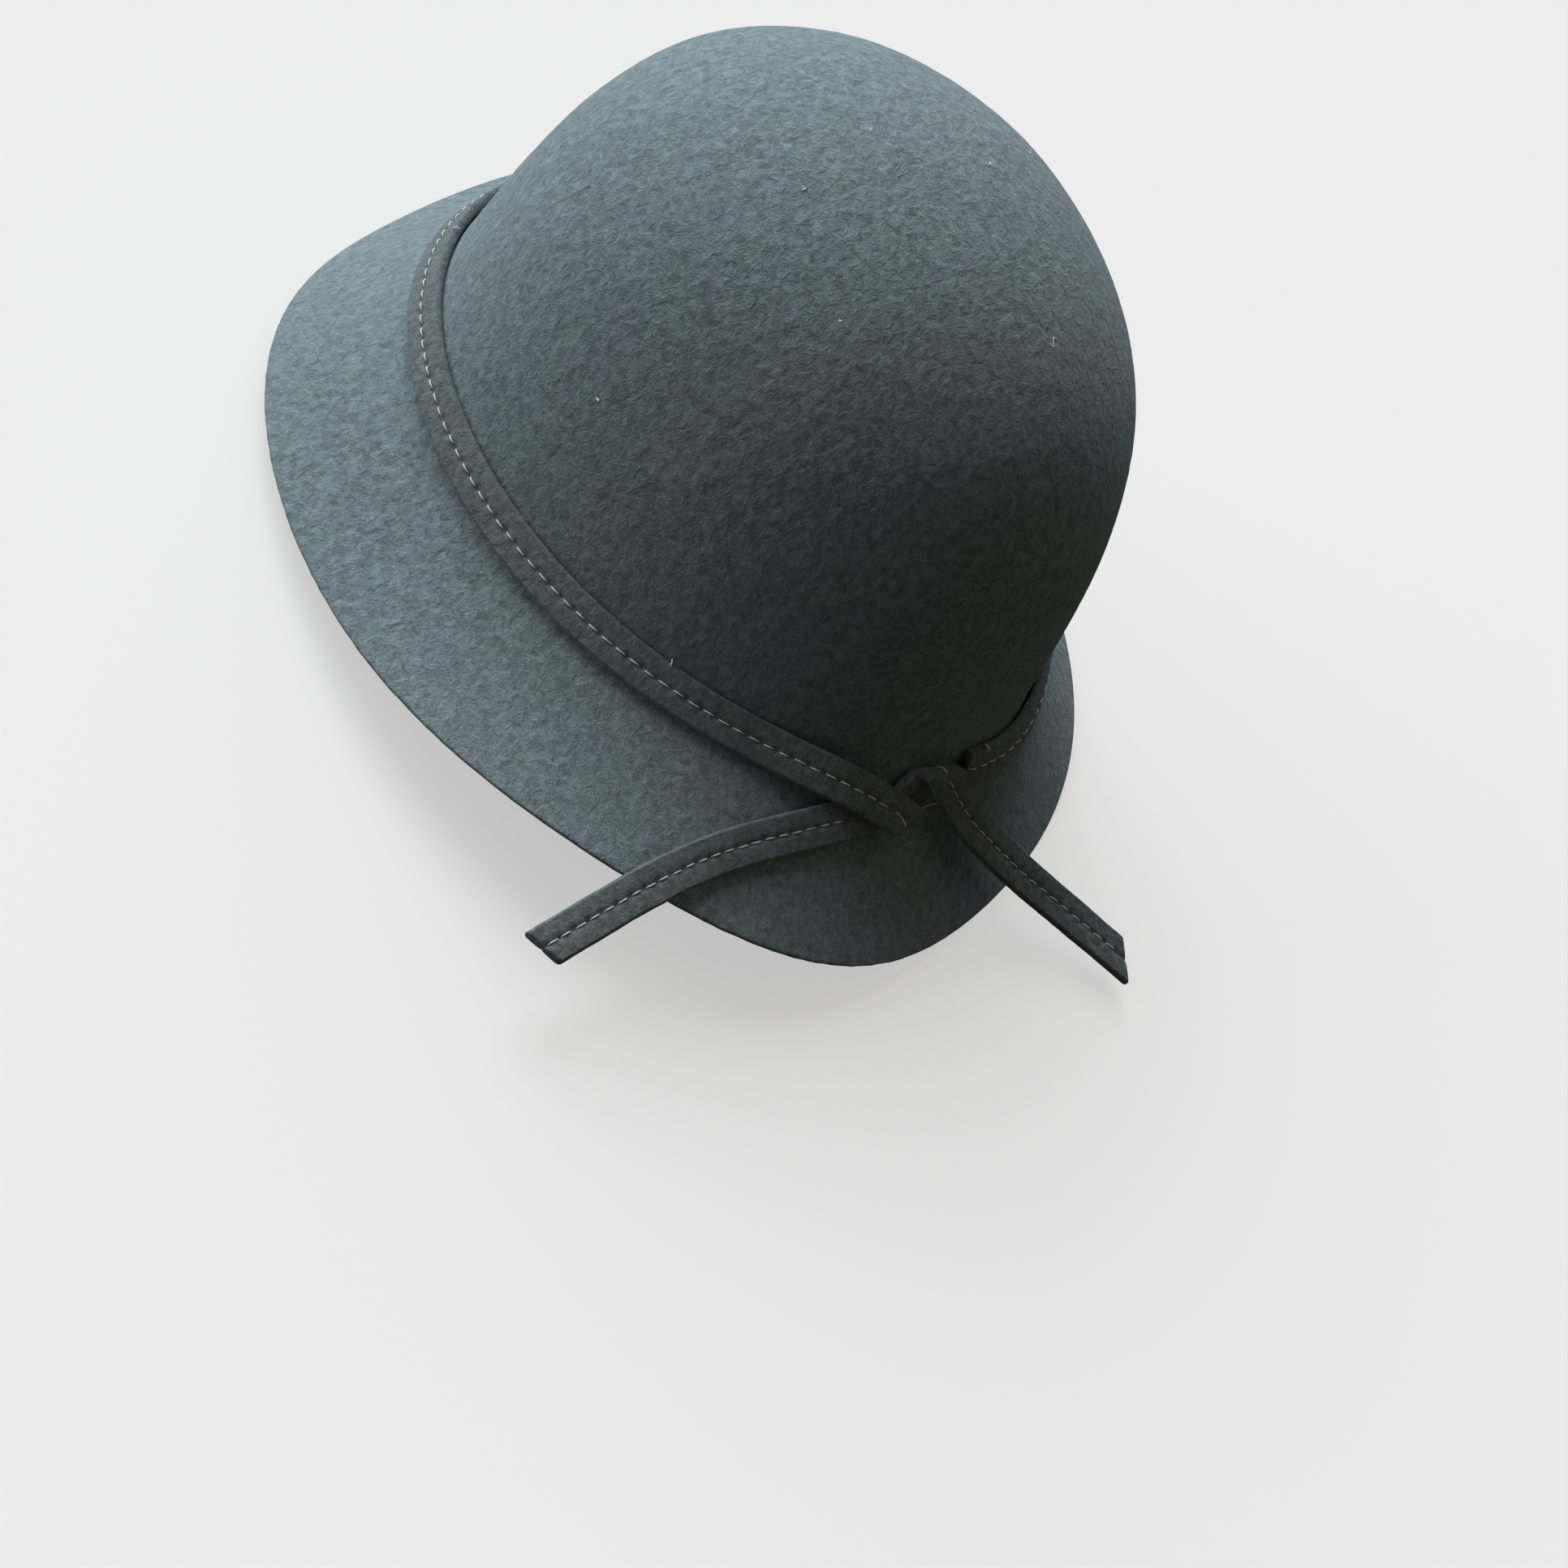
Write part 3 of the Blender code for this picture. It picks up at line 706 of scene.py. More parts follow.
class Ribbon:
    """A strip's centre line, with its across and above directions at each length along it."""

    def __init__(self, points, faces, smooth=0.0, flip=False, step=STRIP_STEP):
        steps = np.linalg.norm(np.diff(points, axis=0), axis=1)
        length = np.concatenate([[0.0], np.cumsum(steps)])
        count = max(int(length[-1] / step), 8)
        self.length = np.linspace(0.0, length[-1], count + 1)
        self.points = self.sample(self.length, length, points)
        faces = self.sample(self.length, length, faces)
        if smooth > 0:
            self.points = self.smoothed(self.points, smooth)
            faces = self.smoothed(faces, smooth)
        travel = unit(np.gradient(self.points, axis=0))
        sign = -1.0 if flip else 1.0
        self.across = unit(np.cross(faces, travel)) * sign
        self.above = unit(np.cross(travel, self.across))

    @staticmethod
    def sample(at, length, values):
        return np.stack([np.interp(at, length, values[:, k]) for k in range(3)], -1)

    def smoothed(self, values, width):
        """Averages over a window that narrows to nothing at each end, so the ends stay put."""
        half = max(int(width / 2 / (self.length[1] - self.length[0])), 1)
        result = values.copy()
        for i in range(len(values)):
            k = min(half, i, len(values) - 1 - i)
            result[i] = values[i - k : i + k + 1].mean(0)
        return result

    def nearest(self, point):
        """The length at which the centre line comes closest to a point."""
        return self.length[np.argmin(np.linalg.norm(self.points - point, axis=1))]

    def place(self, s, t, n):
        """Points s along the strip, t across it and n above it."""
        s, t, n = together(s, t, n)
        beyond = s - np.clip(s, self.length[0], self.length[-1])
        point = self.sample(s, self.length, self.points)
        across = self.sample(s, self.length, self.across)
        above = self.sample(s, self.length, self.above)
        travel = np.cross(across, above)
        return point + travel * beyond[..., None] + across * t[..., None] + above * n[..., None]


def catmull_rom(points, steps):
    """A smooth curve through the points, in equal steps along each span."""
    ends = np.concatenate([[2 * points[0] - points[1]], points, [2 * points[-1] - points[-2]]])
    spans = len(points) - 1
    place = np.arange(steps + 1) * spans / steps
    k = np.minimum(place.astype(int), spans - 1)
    t = (place - k)[:, None]
    a, b, c, d = ends[k], ends[k + 1], ends[k + 2], ends[k + 3]
    bend = (2 * a - 5 * b + 4 * c - d) * t * t + (3 * b - a - 3 * c + d) * t**3
    return (2 * b + (c - a) * t + bend) / 2


def strip_outline():
    """The strip's section, two soft halves with rounded corners; and, for each of its points,
    how far the sewn groove and the puckers at the stitch ends draw it in."""
    w = STRIP_WIDTH / 2
    t = STRIP_THICK / 2
    u = np.linspace(STRIP_CORNER - w, w - STRIP_CORNER, FACE_POINTS)
    half = (np.abs(u) - w / 2) / (w / 2)
    face = t - STRIP_PILLOW * half**2
    groove = GROOVE_DEPTH * np.exp(-2 * (u / GROOVE_WIDTH) ** 2)
    pucker = PUCKER_DEPTH * np.exp(-2 * (u / PUCKER_WIDTH) ** 2)
    turn = np.radians(np.linspace(SIDE_TURN, -SIDE_TURN, SIDE_POINTS))
    side = w - STRIP_CORNER + STRIP_CORNER * np.cos(turn)
    rise = t * np.sin(turn)
    still = 0 * turn
    top = np.stack([u, face, groove, pucker], -1)
    right = np.stack([side, rise, still, still], -1)
    return np.concatenate([top, right, -top, -right])


def strip_sections(start, end, rounded):
    """Where a strip's rings lie along it, and how much of its thickness each keeps."""
    body = np.linspace(start, end, int((end - start) / STRIP_STEP) + 1)
    lead = END_ROUND * END_STEPS
    at = np.concatenate([start + lead, body[2:-2], end - lead[::-1]])
    worn = 1 - END_THINNING * (1 - END_STEPS) ** END_POWER
    kept = np.ones(len(at))
    if rounded[0]:
        kept[: len(lead)] = worn
    if rounded[1]:
        kept[-len(lead) :] = worn[::-1]
    return at[:, None], kept[:, None]


def stitch_pull(at, sewn):
    """How hard the stitches draw the felt in: 1 midway between two stitches and 0 on one."""
    between = sewn + (STITCH_LENGTH - STITCH_PITCH) / 2
    beat = 0.5 + 0.5 * np.cos(2 * math.pi * (at - between) / STITCH_PITCH)
    return beat**2


def strip_fuzz(points, seed):
    fine = STRIP_FUZZ * noise_at(points, STRIP_FUZZ_SIZE, seed)
    return fine + STRIP_SWELL * noise_at(points, STRIP_SWELL_SIZE, seed + 1)


def strip_rings(place, start, end, skew, rounded, seed, sewn):
    """Rings of the strip's section from start to end, its ends cut at a slant and softened.

    Stitches start at sewn and then at every pitch along the strip.
    """
    t, n, groove, pucker = (column[None, :] for column in strip_outline().T)
    at, kept = strip_sections(start, end, rounded)
    n = n * kept - groove - pucker * stitch_pull(at, sewn)
    trim = (STRIP_WIDTH / 2) * (1 - kept) * END_NARROWING
    t = np.sign(t) * np.maximum(np.abs(t) - trim, 0.0)
    slant_start = skew[0] * (1 - ease(at, start, start + SKEW_RUN))
    slant_end = skew[1] * ease(at, end - SKEW_RUN, end)
    s = at + (slant_start + slant_end) * t
    points = place(s, t, n)
    outward = unit(points - place(s, t * STRIP_CORE, 0.0))
    return points + outward * strip_fuzz(points, seed)[..., None]


def band_place(angle):
    """Reach and lift of the band's centre line, which slips down a little beside the fold."""
    away = np.maximum(angle - BAND_LEAVES, 0.0) / (BAND_END - BAND_LEAVES)
    slip = np.exp(-(((angle - BAND_SLIP_ANGLE) / BAND_SLIP_SPAN) ** 2))
    reach = BAND_REACH + (BAND_END_REACH - BAND_REACH) * away**3 + BAND_SLIP_REACH * slip
    rise = ease(angle, BAND_RISES, BAND_RISEN)
    lift = STRIP_LIFT + (OVER_LIFT - STRIP_LIFT) * rise + BAND_SLIP_LIFT * slip
    return reach, lift


def make_band(material):
    """The long strip round the crown's foot; gives its centre line back."""
    angles = np.arange(BAND_START, BAND_END + BAND_ANGLE_STEP / 2, BAND_ANGLE_STEP)
    ribbon = Ribbon(*station(angles, *band_place(angles)))
    end = ribbon.length[-1] - BAND_END_TRIM
    skew = (0.0, BAND_END_SKEW)
    rings = strip_rings(ribbon.place, 0.0, end, skew, (True, True), BAND_SEED, SEWN_FROM)
    stand_in(make_tube("band_strip_felt", rings, material), "band_strip")
    return ribbon


class FoldedTie:
    """The tie: a strip that runs up the brim, curls over itself at a crease and runs down again.

    Lengths run from the left tail's tip to the right tail's tip. Near the crease the strip lies in
    a plane and wraps round a small cylinder; away from it, it follows the tails' paths.
    """

    def __init__(self):
        self.fold, self.normal = station(*FOLD_PLACE)
        self.lay_left()
        self.lay_fold()
        self.lay_right()
        self.sewn_from = self.crease + SEWN_AFTER_CREASE * (self.exit - self.crease)

    def lay_left(self):
        """From the left tail's tip, past its hinge and up the brim to the crease."""
        tail, tail_faces = self.tail_path(LEFT_HINGE_PLACE, LEFT_TAIL_PLACES, LEFT_FACE_TIP)
        legs = [station(*place) for place in FOLD_LEG_PLACES]
        points = np.concatenate([tail[::-1], [point for point, _ in legs], [self.fold]])
        faces = np.concatenate([tail_faces[::-1], [face for _, face in legs], [self.normal]])
        self.left = Ribbon(points, faces, smooth=TAIL_SMOOTHING)
        self.left_hinge = self.left.nearest(tail[0])
        self.split = self.left_hinge + TIE_SPLIT
        self.crease = self.left.length[-1]

    def lay_fold(self):
        """The plane of the fold: crosswise runs along the crease, and over runs up across it."""
        beyond, _ = station(FOLD_PLACE[0] + 1, *FOLD_PLACE[1:])
        off = beyond - self.fold
        self.crosswise = unit(off - self.normal * (off @ self.normal))
        self.over = np.cross(self.crosswise, self.normal)
        if self.over[2] < 0:
            self.over = -self.over
        self.climb = math.sin(math.radians(FOLD_ANGLE))
        self.slide = math.cos(math.radians(FOLD_ANGLE))
        self.up_travel = self.over * self.climb + self.crosswise * self.slide
        self.wrap = math.pi * CURL_RADIUS
        self.exit = self.crease + self.wrap / self.climb

    def lay_right(self):
        """From where the strip leaves the fold to the right tail's tip."""
        leave = self.fold + self.crosswise * self.slide * self.wrap / self.climb
        start = leave + self.normal * 2 * CURL_RADIUS
        tail, tail_faces = self.tail_path(RIGHT_HINGE_PLACE, RIGHT_TAIL_PLACES, RIGHT_FACE_TIP)
        points = np.concatenate([[start], tail])
        faces = np.concatenate([[self.normal], tail_faces])
        self.right = Ribbon(points, faces, smooth=TAIL_SMOOTHING, flip=True)
        self.right_hinge = self.exit + self.right.nearest(tail[0])
        self.end = self.exit + self.right.length[-1]

    @staticmethod
    def tail_path(hinge_place, places, tip_face):
        """A tail's centre line from its root out to its tip, and the way it faces all along."""
        root, root_face = station(*hinge_place)
        points = np.array([root] + [station(*place)[0] for place in places])
        path = catmull_rom(points, TAIL_STEPS)
        share = np.linspace(0.0, 1.0, len(path))[:, None]
        return path, root_face * (1 - share) + tip_face * share

    def in_fold(self, s, t, n):
        """The strip near the crease: flat, then round the cylinder, then flat on top."""
        side = np.cross(self.normal, self.up_travel)
        flat = self.up_travel * (s - self.crease)[..., None] + side * t[..., None]
        past = flat @ self.over
        along = flat @ self.crosswise
        turn = np.clip(past, 0.0, self.wrap) / CURL_RADIUS
        radius = CURL_RADIUS - n
        straight = np.minimum(past, 0.0) - np.maximum(past - self.wrap, 0.0)
        away = straight + radius * np.sin(turn)
        height = CURL_RADIUS - radius * np.cos(turn)
        point = self.over * away[..., None] + self.crosswise * along[..., None]
        return self.fold + point + self.normal * height[..., None]

    def place(self, s, t, n):
        """Points s along the tie, t across it and n above it."""
        s, t, n = together(s, t, n)
        folded = self.in_fold(s, t, n)
        far, near = FOLD_BLEND
        on_left = 1 - ease(s, self.crease - far, self.crease - near)
        after = self.right_hinge - self.exit
        begin, finish = (self.exit + share * after for share in UNFOLD_BLEND)
        on_right = ease(s, begin, finish)
        left = self.left.place(s, t, n)
        right = self.right.place(s - self.exit, t, n)
        share = (1 - on_left - on_right)[..., None]
        return left * on_left[..., None] + right * on_right[..., None] + folded * share


def make_tie(tie, material):
    """The tie in two pieces, parted under the band's end."""
    skew = (LEFT_TIP_SKEW, 0.0)
    rings = strip_rings(tie.place, 0.0, tie.split, skew, (True, False), LEFT_SEED, SEWN_FROM)
    left = make_tube("tie_left_strip", rings, material)
    skew = (0.0, RIGHT_TIP_SKEW)
    rings = strip_rings(
        tie.place, tie.split, tie.end, skew, (False, True), RIGHT_SEED, tie.sewn_from
    )
    right = make_tube("tie_right_strip", rings, material)
    bend_at_hinge(left, tie, "left_tail", "tie_tail_left")
    bend_at_hinge(right, tie, "right_tail", "tie_fold", "tie_tail_right")


def bend_at_hinge(piece, tie, body, *nodes):
    """Shows a piece instead of CAD nodes and bakes its placing into its mesh; the hinge's ends are
    found but not used.
    """
    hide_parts(*nodes)
    hinge, toward = (tie.left_hinge, -1) if body == "left_tail" else (tie.right_hinge, 1)
    start = tie.place(hinge - toward * HINGE_HALF, 0.0, 0.0)
    end = tie.place(hinge + toward * HINGE_HALF, 0.0, 0.0)
    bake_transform(piece)


# ---- stitches ----


def two_ply(length, radius):
    """A twisted thread's outline at each length: how far it is across and above the middle."""
    phi = np.arange(THREAD_SIDES) * 2 * math.pi / THREAD_SIDES
    twist = 2 * math.pi * length / THREAD_TWIST
    r = radius * (1 - THREAD_PLY + THREAD_PLY * np.cos(2 * (phi - twist)))
    return r * np.cos(phi), r * np.sin(phi)


def thread_rings(place, start, end, height, sink, rise):
    """One stitch: a thread that arches over the cloth and dips in at each end."""
    u = np.linspace(0.0, 1.0, STITCH_RINGS)[:, None]
    middle = np.sin(np.pi * u)
    arch = height - sink + (sink + rise) * middle**STITCH_ARCH_POWER
    taper = STITCH_TIP + (1 - STITCH_TIP) * middle**STITCH_TAPER_POWER
    t, n = two_ply((end - start) * u, STITCH_RADIUS * taper)
    return place(start + (end - start) * u, t, arch + n)


def make_stitches(name, all_rings, material):
    """Many stitches as one mesh of separate closed threads."""
    faces = []
    for i in range(len(all_rings)):
        faces += tube_faces(STITCH_RINGS, THREAD_SIDES, i * STITCH_RINGS * THREAD_SIDES)
    return make_piece(name, np.concatenate(all_rings), faces, material)


def running_stitches(place, start, end, side, randomness):
    """Stitches at an even pitch along the groove of one face; side is 1 for the upper face."""
    groove = STRIP_THICK / 2 - GROOVE_DEPTH
    count = int((end - start - STITCH_LENGTH) / STITCH_PITCH) + 1
    rings = []
    for i in range(count):
        s = start + i * STITCH_PITCH + randomness.uniform(-STITCH_WANDER, STITCH_WANDER)
        long = STITCH_LENGTH + randomness.uniform(-STITCH_UNEVEN, STITCH_UNEVEN)
        drift = randomness.uniform(-STITCH_DRIFT, STITCH_DRIFT)

        def over(along, across, above, drift=drift):
            return place(along, across + drift, side * above)

        rings.append(thread_rings(over, s, s + long, groove, STITCH_SINK, STITCH_RISE))
    return rings


def thread_along(points, faces, radius):
    """Rings of a twisted thread that follows a smooth curve through the points."""
    path = catmull_rom(np.array(points), THREAD_CURVE_STEPS)
    line = Ribbon(path, np.broadcast_to(np.asarray(faces, float), path.shape), step=THREAD_STEP)
    s = np.linspace(0.0, line.length[-1], THREAD_RINGS)[:, None]
    taper = np.ones((THREAD_RINGS, 1))
    taper[[0, -1]] = THREAD_END
    return line.place(s, *two_ply(s, radius * taper))


def make_band_stitches(ribbon, material):
    """The band's running stitch, and the thread's end, which lies across the band's end."""
    end = ribbon.length[-1] - BAND_END_TRIM
    randomness = random.Random(BAND_STITCH_SEED)
    rings = running_stitches(ribbon.place, SEWN_FROM, end - LOOSE_END_BACK[0], 1, randomness)
    stitches = make_stitches("band_stitches", rings, material)
    above = STRIP_THICK / 2 + LOOSE_END_ABOVE
    path = ribbon.place(end - LOOSE_END_BACK, LOOSE_END_ACROSS, above)
    rings = thread_along(path, ribbon.above[-1], LOOSE_END_RADIUS)
    loose = make_tube("band_loose_end", rings, material)
    stitches = join_pieces([stitches, loose], "band_stitches")
    stand_in(stitches, "band_thread")


def make_tie_stitches(tie, material):
    """The tie's running stitch: on its upper face on the left, and on the other after the fold."""
    randomness = random.Random(TIE_STITCH_SEED)
    rings = running_stitches(tie.place, SEWN_FROM, tie.split, 1, randomness)
    left = make_stitches("tie_left_stitches", rings, material)
    bend_at_hinge(left, tie, "left_tail", "tail_thread_left")
    rings = running_stitches(tie.place, tie.sewn_from, tie.end - SEWN_TO_TIP, -1, randomness)
    right = make_stitches("tie_right_stitches", rings, material)
    bend_at_hinge(right, tie, "right_tail", "tail_thread_right")


def make_tacks(ribbon, material):
    """Short stitches over the band's upper edge, into the crown's foot."""
    for number, angle in enumerate(TACK_ANGLES, start=1):
        turned = angle if angle > BAND_START else angle + 360
        point, _ = station(turned, *band_place(turned))
        at = ribbon.nearest(point)
        across = STRIP_WIDTH / 2 + TACK_ACROSS
        path = ribbon.place(at + TACK_ALONG, across, STRIP_THICK / 2 + TACK_ABOVE)
        along = ribbon.place(at + 1 * MM, 0.0, 0.0) - ribbon.place(at, 0.0, 0.0)
        rings = thread_along(path, unit(along), TACK_RADIUS)
        stand_in(make_tube(f"band_tack_{number}", rings, material), f"tack_stitch_{number}")


def make_knot_thread(material):
    """The thin thread that crosses the gap between the band's end and the fold."""
    places = [station(*place) for place in KNOT_THREAD]
    path = [place for place, _ in places]
    knot = make_tube("knot_thread", thread_along(path, places[1][1], KNOT_THREAD_RADIUS), material)
    stand_in(knot, "knot_stitch")


def make_lint(material):
    """Specks of white fluff, each a tangle of fibres, and one longer curled fibre."""
    randomness = np.random.default_rng(LINT_SEED)
    pieces = []
    for number, (angle, rise, size) in enumerate(CROWN_LINT, start=1):
        centre = crown_point(angle, rise)
        normal = crown_normal(angle, rise)
        for _ in range(LINT_FIBRES):
            tangle = randomness.normal(0, size * LINT_TANGLE, (4, 3))
            path = centre + normal * size * LINT_LIFT + tangle
            rings = thread_along(path, normal, LINT_RADIUS)
            pieces.append(make_tube(f"lint_{number}", rings, material))
    path = [crown_point(*at) + crown_normal(*at) * CROWN_FIBRE_LIFT for at in CROWN_FIBRE]
    rings = thread_along(path, normal, CROWN_FIBRE_RADIUS)
    pieces.append(make_tube("lint_fibre", rings, material))
    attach(join_pieces(pieces, "felt_lint"), "hat")


# ---- sweatband and size tab ----


def ribbon_inset(angle):
    """The ribbon's last stretch runs inside its first, so that the ends lap."""
    lap = ease(angle - RIBBON_START, 360 - RIBBON_LAP_RAMP, 360)
    return FELT + LAY + lap * (RIBBON_THICK + GAP)


def sewn_inset(angle):
    """Thread lies on the ribbon's inner face."""
    return ribbon_inset(angle) + RIBBON_THICK + GAP


def make_sweatband(material):
    """The grosgrain ribbon, its upright ribs woven between two plain selvedges."""
    ribs = int(math.radians(360 + RIBBON_LAP) * (HALF_WIDTH + HALF_LENGTH) / 2 / RIB_PITCH)
    angles = np.linspace(RIBBON_START, RIBBON_STOP, ribs * RIB_COLUMNS + 1)[:, None]
    phase = np.cos(np.linspace(0, 2 * math.pi * ribs, len(angles)))[:, None]
    high = RIBBON_LOW + RIBBON_HEIGHT
    steps = np.array([0.0, SELVEDGE * SELVEDGE_PLAIN, SELVEDGE])
    heights = np.concatenate([RIBBON_LOW + steps, high - steps[::-1]])
    ribbed = np.array([0.0, 0.0, 1.0, 1.0, 0.0, 0.0])
    inset = ribbon_inset(angles)
    face = wall_station(angles, heights, inset + RIBBON_THICK + RIB_RELIEF * ribbed * phase)
    back = wall_station(angles, heights[::-1], inset + 0 * heights)
    rings = np.concatenate([face, back], axis=1)
    sweatband = make_tube("grosgrain_sweatband", rings, material)
    sweatband.data.shade_flat()
    stand_in(sweatband, "sweatband")


def wall_stitches(angles, heights, randomness):
    """Running stitches on the ribbon's inner face, along a path of angles and heights."""
    insets = sewn_inset(angles) - SEWING_SINK
    points = wall_station(angles, heights, insets)
    deeper = wall_station(angles, heights, insets + 1 * MM)
    line = Ribbon(points, unit(deeper - points))
    rings = []
    for i in range(int(line.length[-1] / STITCH_PITCH)):
        wander = randomness.uniform(-WALL_STITCH_WANDER, WALL_STITCH_WANDER)
        s = (i + WALL_STITCH_START) * STITCH_PITCH + wander
        end = s + STITCH_LENGTH * WALL_STITCH
        rings.append(thread_rings(line.place, s, end, 0.0, WALL_STITCH_SINK, WALL_STITCH_RISE))
    return rings


def make_sweatband_stitches(material):
    """Stitches round the ribbon's foot, and up the seam that closes its lap."""
    randomness = random.Random(SWEATBAND_STITCH_SEED)
    angles = np.arange(RIBBON_START + SEWING_START, RIBBON_STOP - SEWING_STOP, 1.0)
    rings = wall_stitches(angles, RIBBON_LOW + SEWING_LOW + 0 * angles, randomness)
    stand_in(make_stitches("sweatband_stitches", rings, material), "sweatband_thread")
    top = RIBBON_LOW + RIBBON_HEIGHT - SEAM_MARGIN
    heights = np.linspace(RIBBON_LOW + SEAM_MARGIN, top, SEAM_STEPS)
    rings = wall_stitches(RIBBON_STOP - SEAM_BACK + 0 * heights, heights, randomness)
    stand_in(make_stitches("seam_stitches", rings, material), "sweatband_seam_stitch")


def tab_frame():
    """The middle of the tab's sewn edge, and its directions: along it, up the wall and inward."""
    inset = sewn_inset(TAB_ANGLE) + TAB_STAND_OFF
    top = wall_station(TAB_ANGLE, TAB_TOP, inset)
    foot = wall_station(TAB_ANGLE, TAB_TOP - TAB_LENGTH, inset)
    up = unit(top - foot)
    _, out = head_oval(TAB_ANGLE)
    along = unit(np.cross(up, [*out, 0.0]))
    inward = unit(np.cross(up, along))
    return top, along, up, inward


def make_size_tab(material):
    """A blank folded satin tab, gently curled."""
    origin, along, up, inward = tab_frame()
    columns, rows = TAB_GRID
    x = np.linspace(-TAB_WIDTH / 2, TAB_WIDTH / 2, columns)[None, :] + np.zeros((rows, 1))
    y = np.linspace(0.0, -TAB_LENGTH, rows)[:, None] + np.zeros((1, columns))
    down = -y / TAB_LENGTH
    twist = TAB_CURL_TWIST * np.cos(x / TAB_WIDTH * 2 * math.pi)
    curl = TAB_CURL * down * (down - TAB_CURL_BACK + twist)
    at_side = np.abs(x) > TAB_WIDTH / 2 - TAB_SELVEDGE
    thick = TAB_THICK / 2 * (1 - TAB_THINNING * at_side)
    plane = origin + along * x[..., None] + up * y[..., None]
    face = plane + inward * (curl + thick)[..., None]
    back = plane + inward * (curl - thick)[..., None]
    rings = np.concatenate([face, back[:, ::-1]], axis=1)
    stand_in(make_tube("satin_size_tab", rings, material), "size_tab", body="size_tab")


def make_tab_stitches(material):
    """The stitches that hold the tab's upper edge."""
    origin, along, up, inward = tab_frame()
    reach = TAB_WIDTH / 2 - TAB_SEWING_MARGIN
    ends = np.array([-reach, reach])
    points = origin + along * ends[:, None] + up * (GAP + TAB_SEWING_ABOVE)
    line = Ribbon(points, np.array([inward, inward]))
    rings = []
    for i in range(int(2 * reach / TAB_STITCH_PITCH)):
        s = i * TAB_STITCH_PITCH
        end = s + TAB_STITCH_LENGTH
        rings.append(thread_rings(line.place, s, end, 0.0, TAB_STITCH_SINK, TAB_STITCH_RISE))
    stand_in(make_stitches("tab_stitches", rings, material), "size_tab_thread")


# ---- stage ----

FLOOR_HALF = 3.0
FLOOR_SINK = 0.2 * MM
FLOOR_GLOW = 0.62
PAPER = 0.84
FLOOR_COLOUR = 0.62


def make_floor():
    """A plain pale floor, evenly lit from within so that the hat's shadow on it stays faint."""
    square = ((-1, -1), (1, -1), (1, 1), (-1, 1))
    corners = [(x * FLOOR_HALF, y * FLOOR_HALF, -FLOOR_SINK) for x, y in square]
    nodes = Nodes("floor_paper", roughness=0.9)
    reflected = FLOOR_COLOUR * (1 - FLOOR_GLOW)
    nodes.set("Base Color", (reflected, reflected, reflected))
    nodes.set("Specular IOR Level", 0.0)
    nodes.set("Emission Color", (PAPER, PAPER, PAPER))
    nodes.set("Emission Strength", FLOOR_GLOW)
    floor = make_piece("floor", corners, [[0, 1, 2, 3]], nodes.material)
    floor.visible_diffuse = False
    floor.visible_glossy = False


CAMERA_AZIMUTH = 104.938
CAMERA_ELEVATION = 38.188
CAMERA_ROLL = 39.206
CAMERA_DISTANCE = 0.9
CAMERA_AIM_HEIGHT = 25.0 * MM
CAMERA_LENS = 75.63
CAMERA_SHIFT = (-0.0081, -0.2462)
CAMERA_CLIP = (0.01, 20.0)


def camera_axes():
    """The camera's right, up and backward directions."""
    azimuth = math.radians(CAMERA_AZIMUTH)
    elevation = math.radians(CAMERA_ELEVATION)
    roll = math.radians(CAMERA_ROLL)
    level = math.cos(elevation)
    back = Vector((math.sin(azimuth) * level, -math.cos(azimuth) * level, math.sin(elevation)))
    flat = (-back).cross(Vector((0, 0, 1))).normalized()
    upright = flat.cross(-back)
    right = flat * math.cos(roll) + upright * math.sin(roll)
    up = upright * math.cos(roll) - flat * math.sin(roll)
    return right, up, back


def make_camera():
    data = bpy.data.cameras.new("camera")
    data.lens = CAMERA_LENS
    data.shift_x, data.shift_y = CAMERA_SHIFT
    data.clip_start, data.clip_end = CAMERA_CLIP
    camera = add_object("camera", data)
    right, up, back = camera_axes()
    aim = Vector(AXIS) + Vector((0, 0, CAMERA_AIM_HEIGHT))
    turn = Matrix((right, up, back)).transposed().to_4x4()
    camera.matrix_world = Matrix.Translation(aim + back * CAMERA_DISTANCE) @ turn
    bpy.context.scene.camera = camera


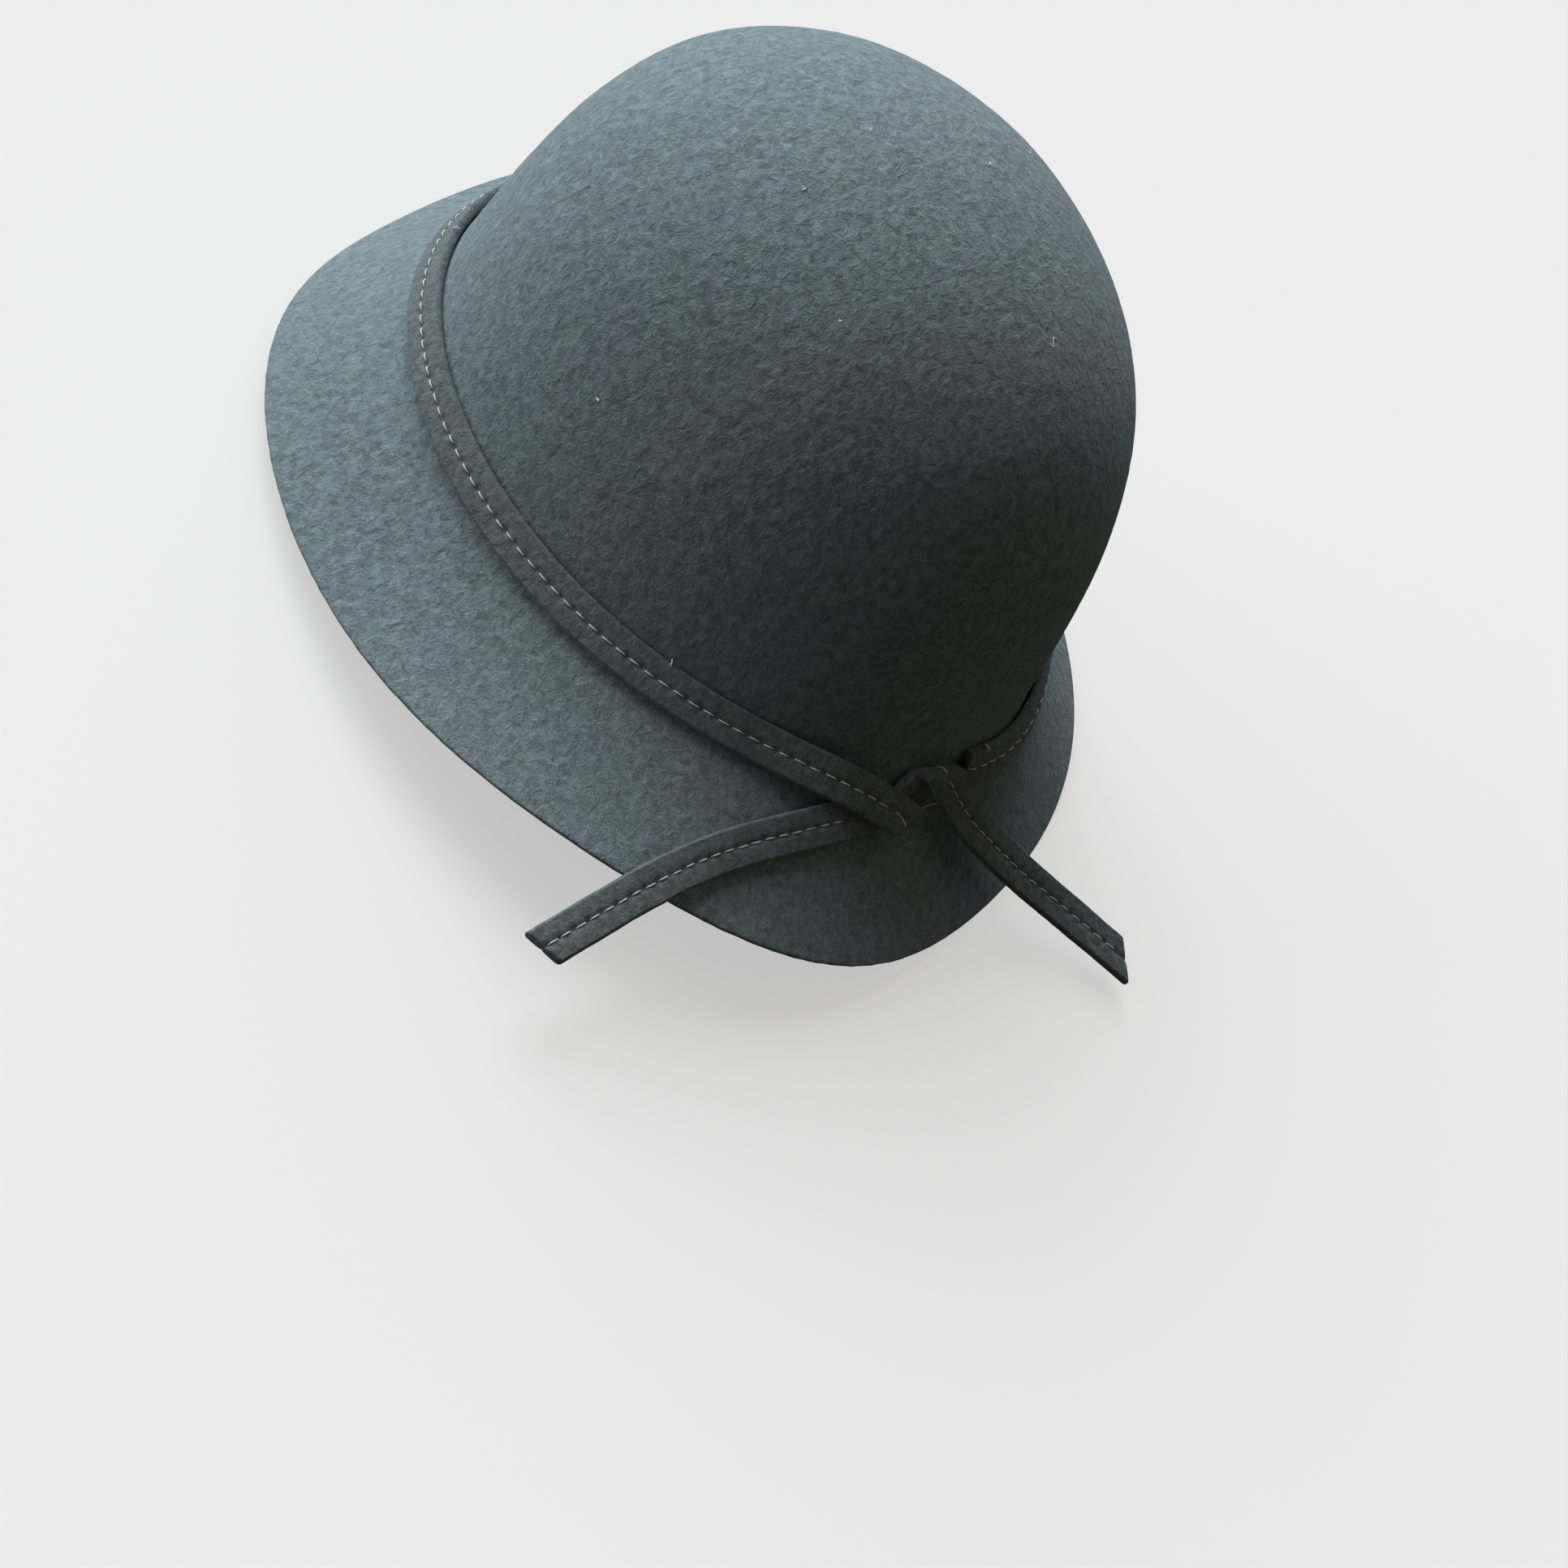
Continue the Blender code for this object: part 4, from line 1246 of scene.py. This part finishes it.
# Soft lights: where each comes from, its strength, how wide it looks and its colour
DAYLIGHT = (0.975, 1.0, 1.015)
LAMPLIGHT = (1.0, 0.86, 0.68)
LIGHTS = (
    ("key", (-0.223, -0.710, 0.668), 3.60, 50.0, DAYLIGHT),
    ("left_window", (0.437, -0.867, 0.240), 2.45, 50.0, DAYLIGHT),
    ("front_window", (-0.292, -0.923, 0.249), 1.45, 50.0, DAYLIGHT),
    ("right_window", (-0.735, -0.532, 0.422), 1.20, 50.0, DAYLIGHT),
    ("top_right", (-0.35, 0.25, 0.90), 0.38, 60.0, LAMPLIGHT),
    ("fill", (0.816, 0.455, 0.355), 0.27, 60.0, LAMPLIGHT),
)
AMBIENT = 0.012


def make_lights():
    for name, direction, strength, width, colour in LIGHTS:
        data = bpy.data.lights.new(name, "SUN")
        data.energy = strength
        data.angle = math.radians(width)
        data.color = colour
        light = add_object(name, data)
        light.rotation_mode = "QUATERNION"
        light.rotation_quaternion = Vector(direction).to_track_quat("Z", "Y")


def make_world():
    """Dim light from all round; the camera itself sees pale paper."""
    world = bpy.data.worlds.new("studio")
    world.use_nodes = True
    tree = world.node_tree
    background = tree.nodes["Background"]
    rays = tree.nodes.new("ShaderNodeLightPath")
    strength = tree.nodes.new("ShaderNodeMapRange")
    strength.inputs["To Min"].default_value = AMBIENT
    strength.inputs["To Max"].default_value = PAPER
    tree.links.new(rays.outputs["Is Camera Ray"], strength.inputs["Value"])
    tree.links.new(strength.outputs["Result"], background.inputs["Strength"])
    background.inputs["Color"].default_value = (*WHITE, 1.0)
    bpy.context.scene.world = world


def main():
    strip_felt = felt_material("strip_felt", STRIP_COLOUR, STRIP_NAP, STRIP_RELIEF)
    thread = thread_material()
    make_felt_hood(felt_material("wool_felt", FELT_COLOUR, FELT_NAP, FELT_RELIEF))
    ribbon = make_band(strip_felt)
    tie = FoldedTie()
    make_tie(tie, strip_felt)
    make_band_stitches(ribbon, thread)
    make_tie_stitches(tie, thread)
    make_tacks(ribbon, thread)
    make_knot_thread(thread)
    make_lint(lint_material())
    make_sweatband(grosgrain_material())
    make_sweatband_stitches(thread)
    make_size_tab(satin_material())
    make_tab_stitches(thread)
    make_floor()
    make_camera()
    make_lights()
    make_world()
    bpy.context.scene.view_settings.view_transform = "Standard"


main()
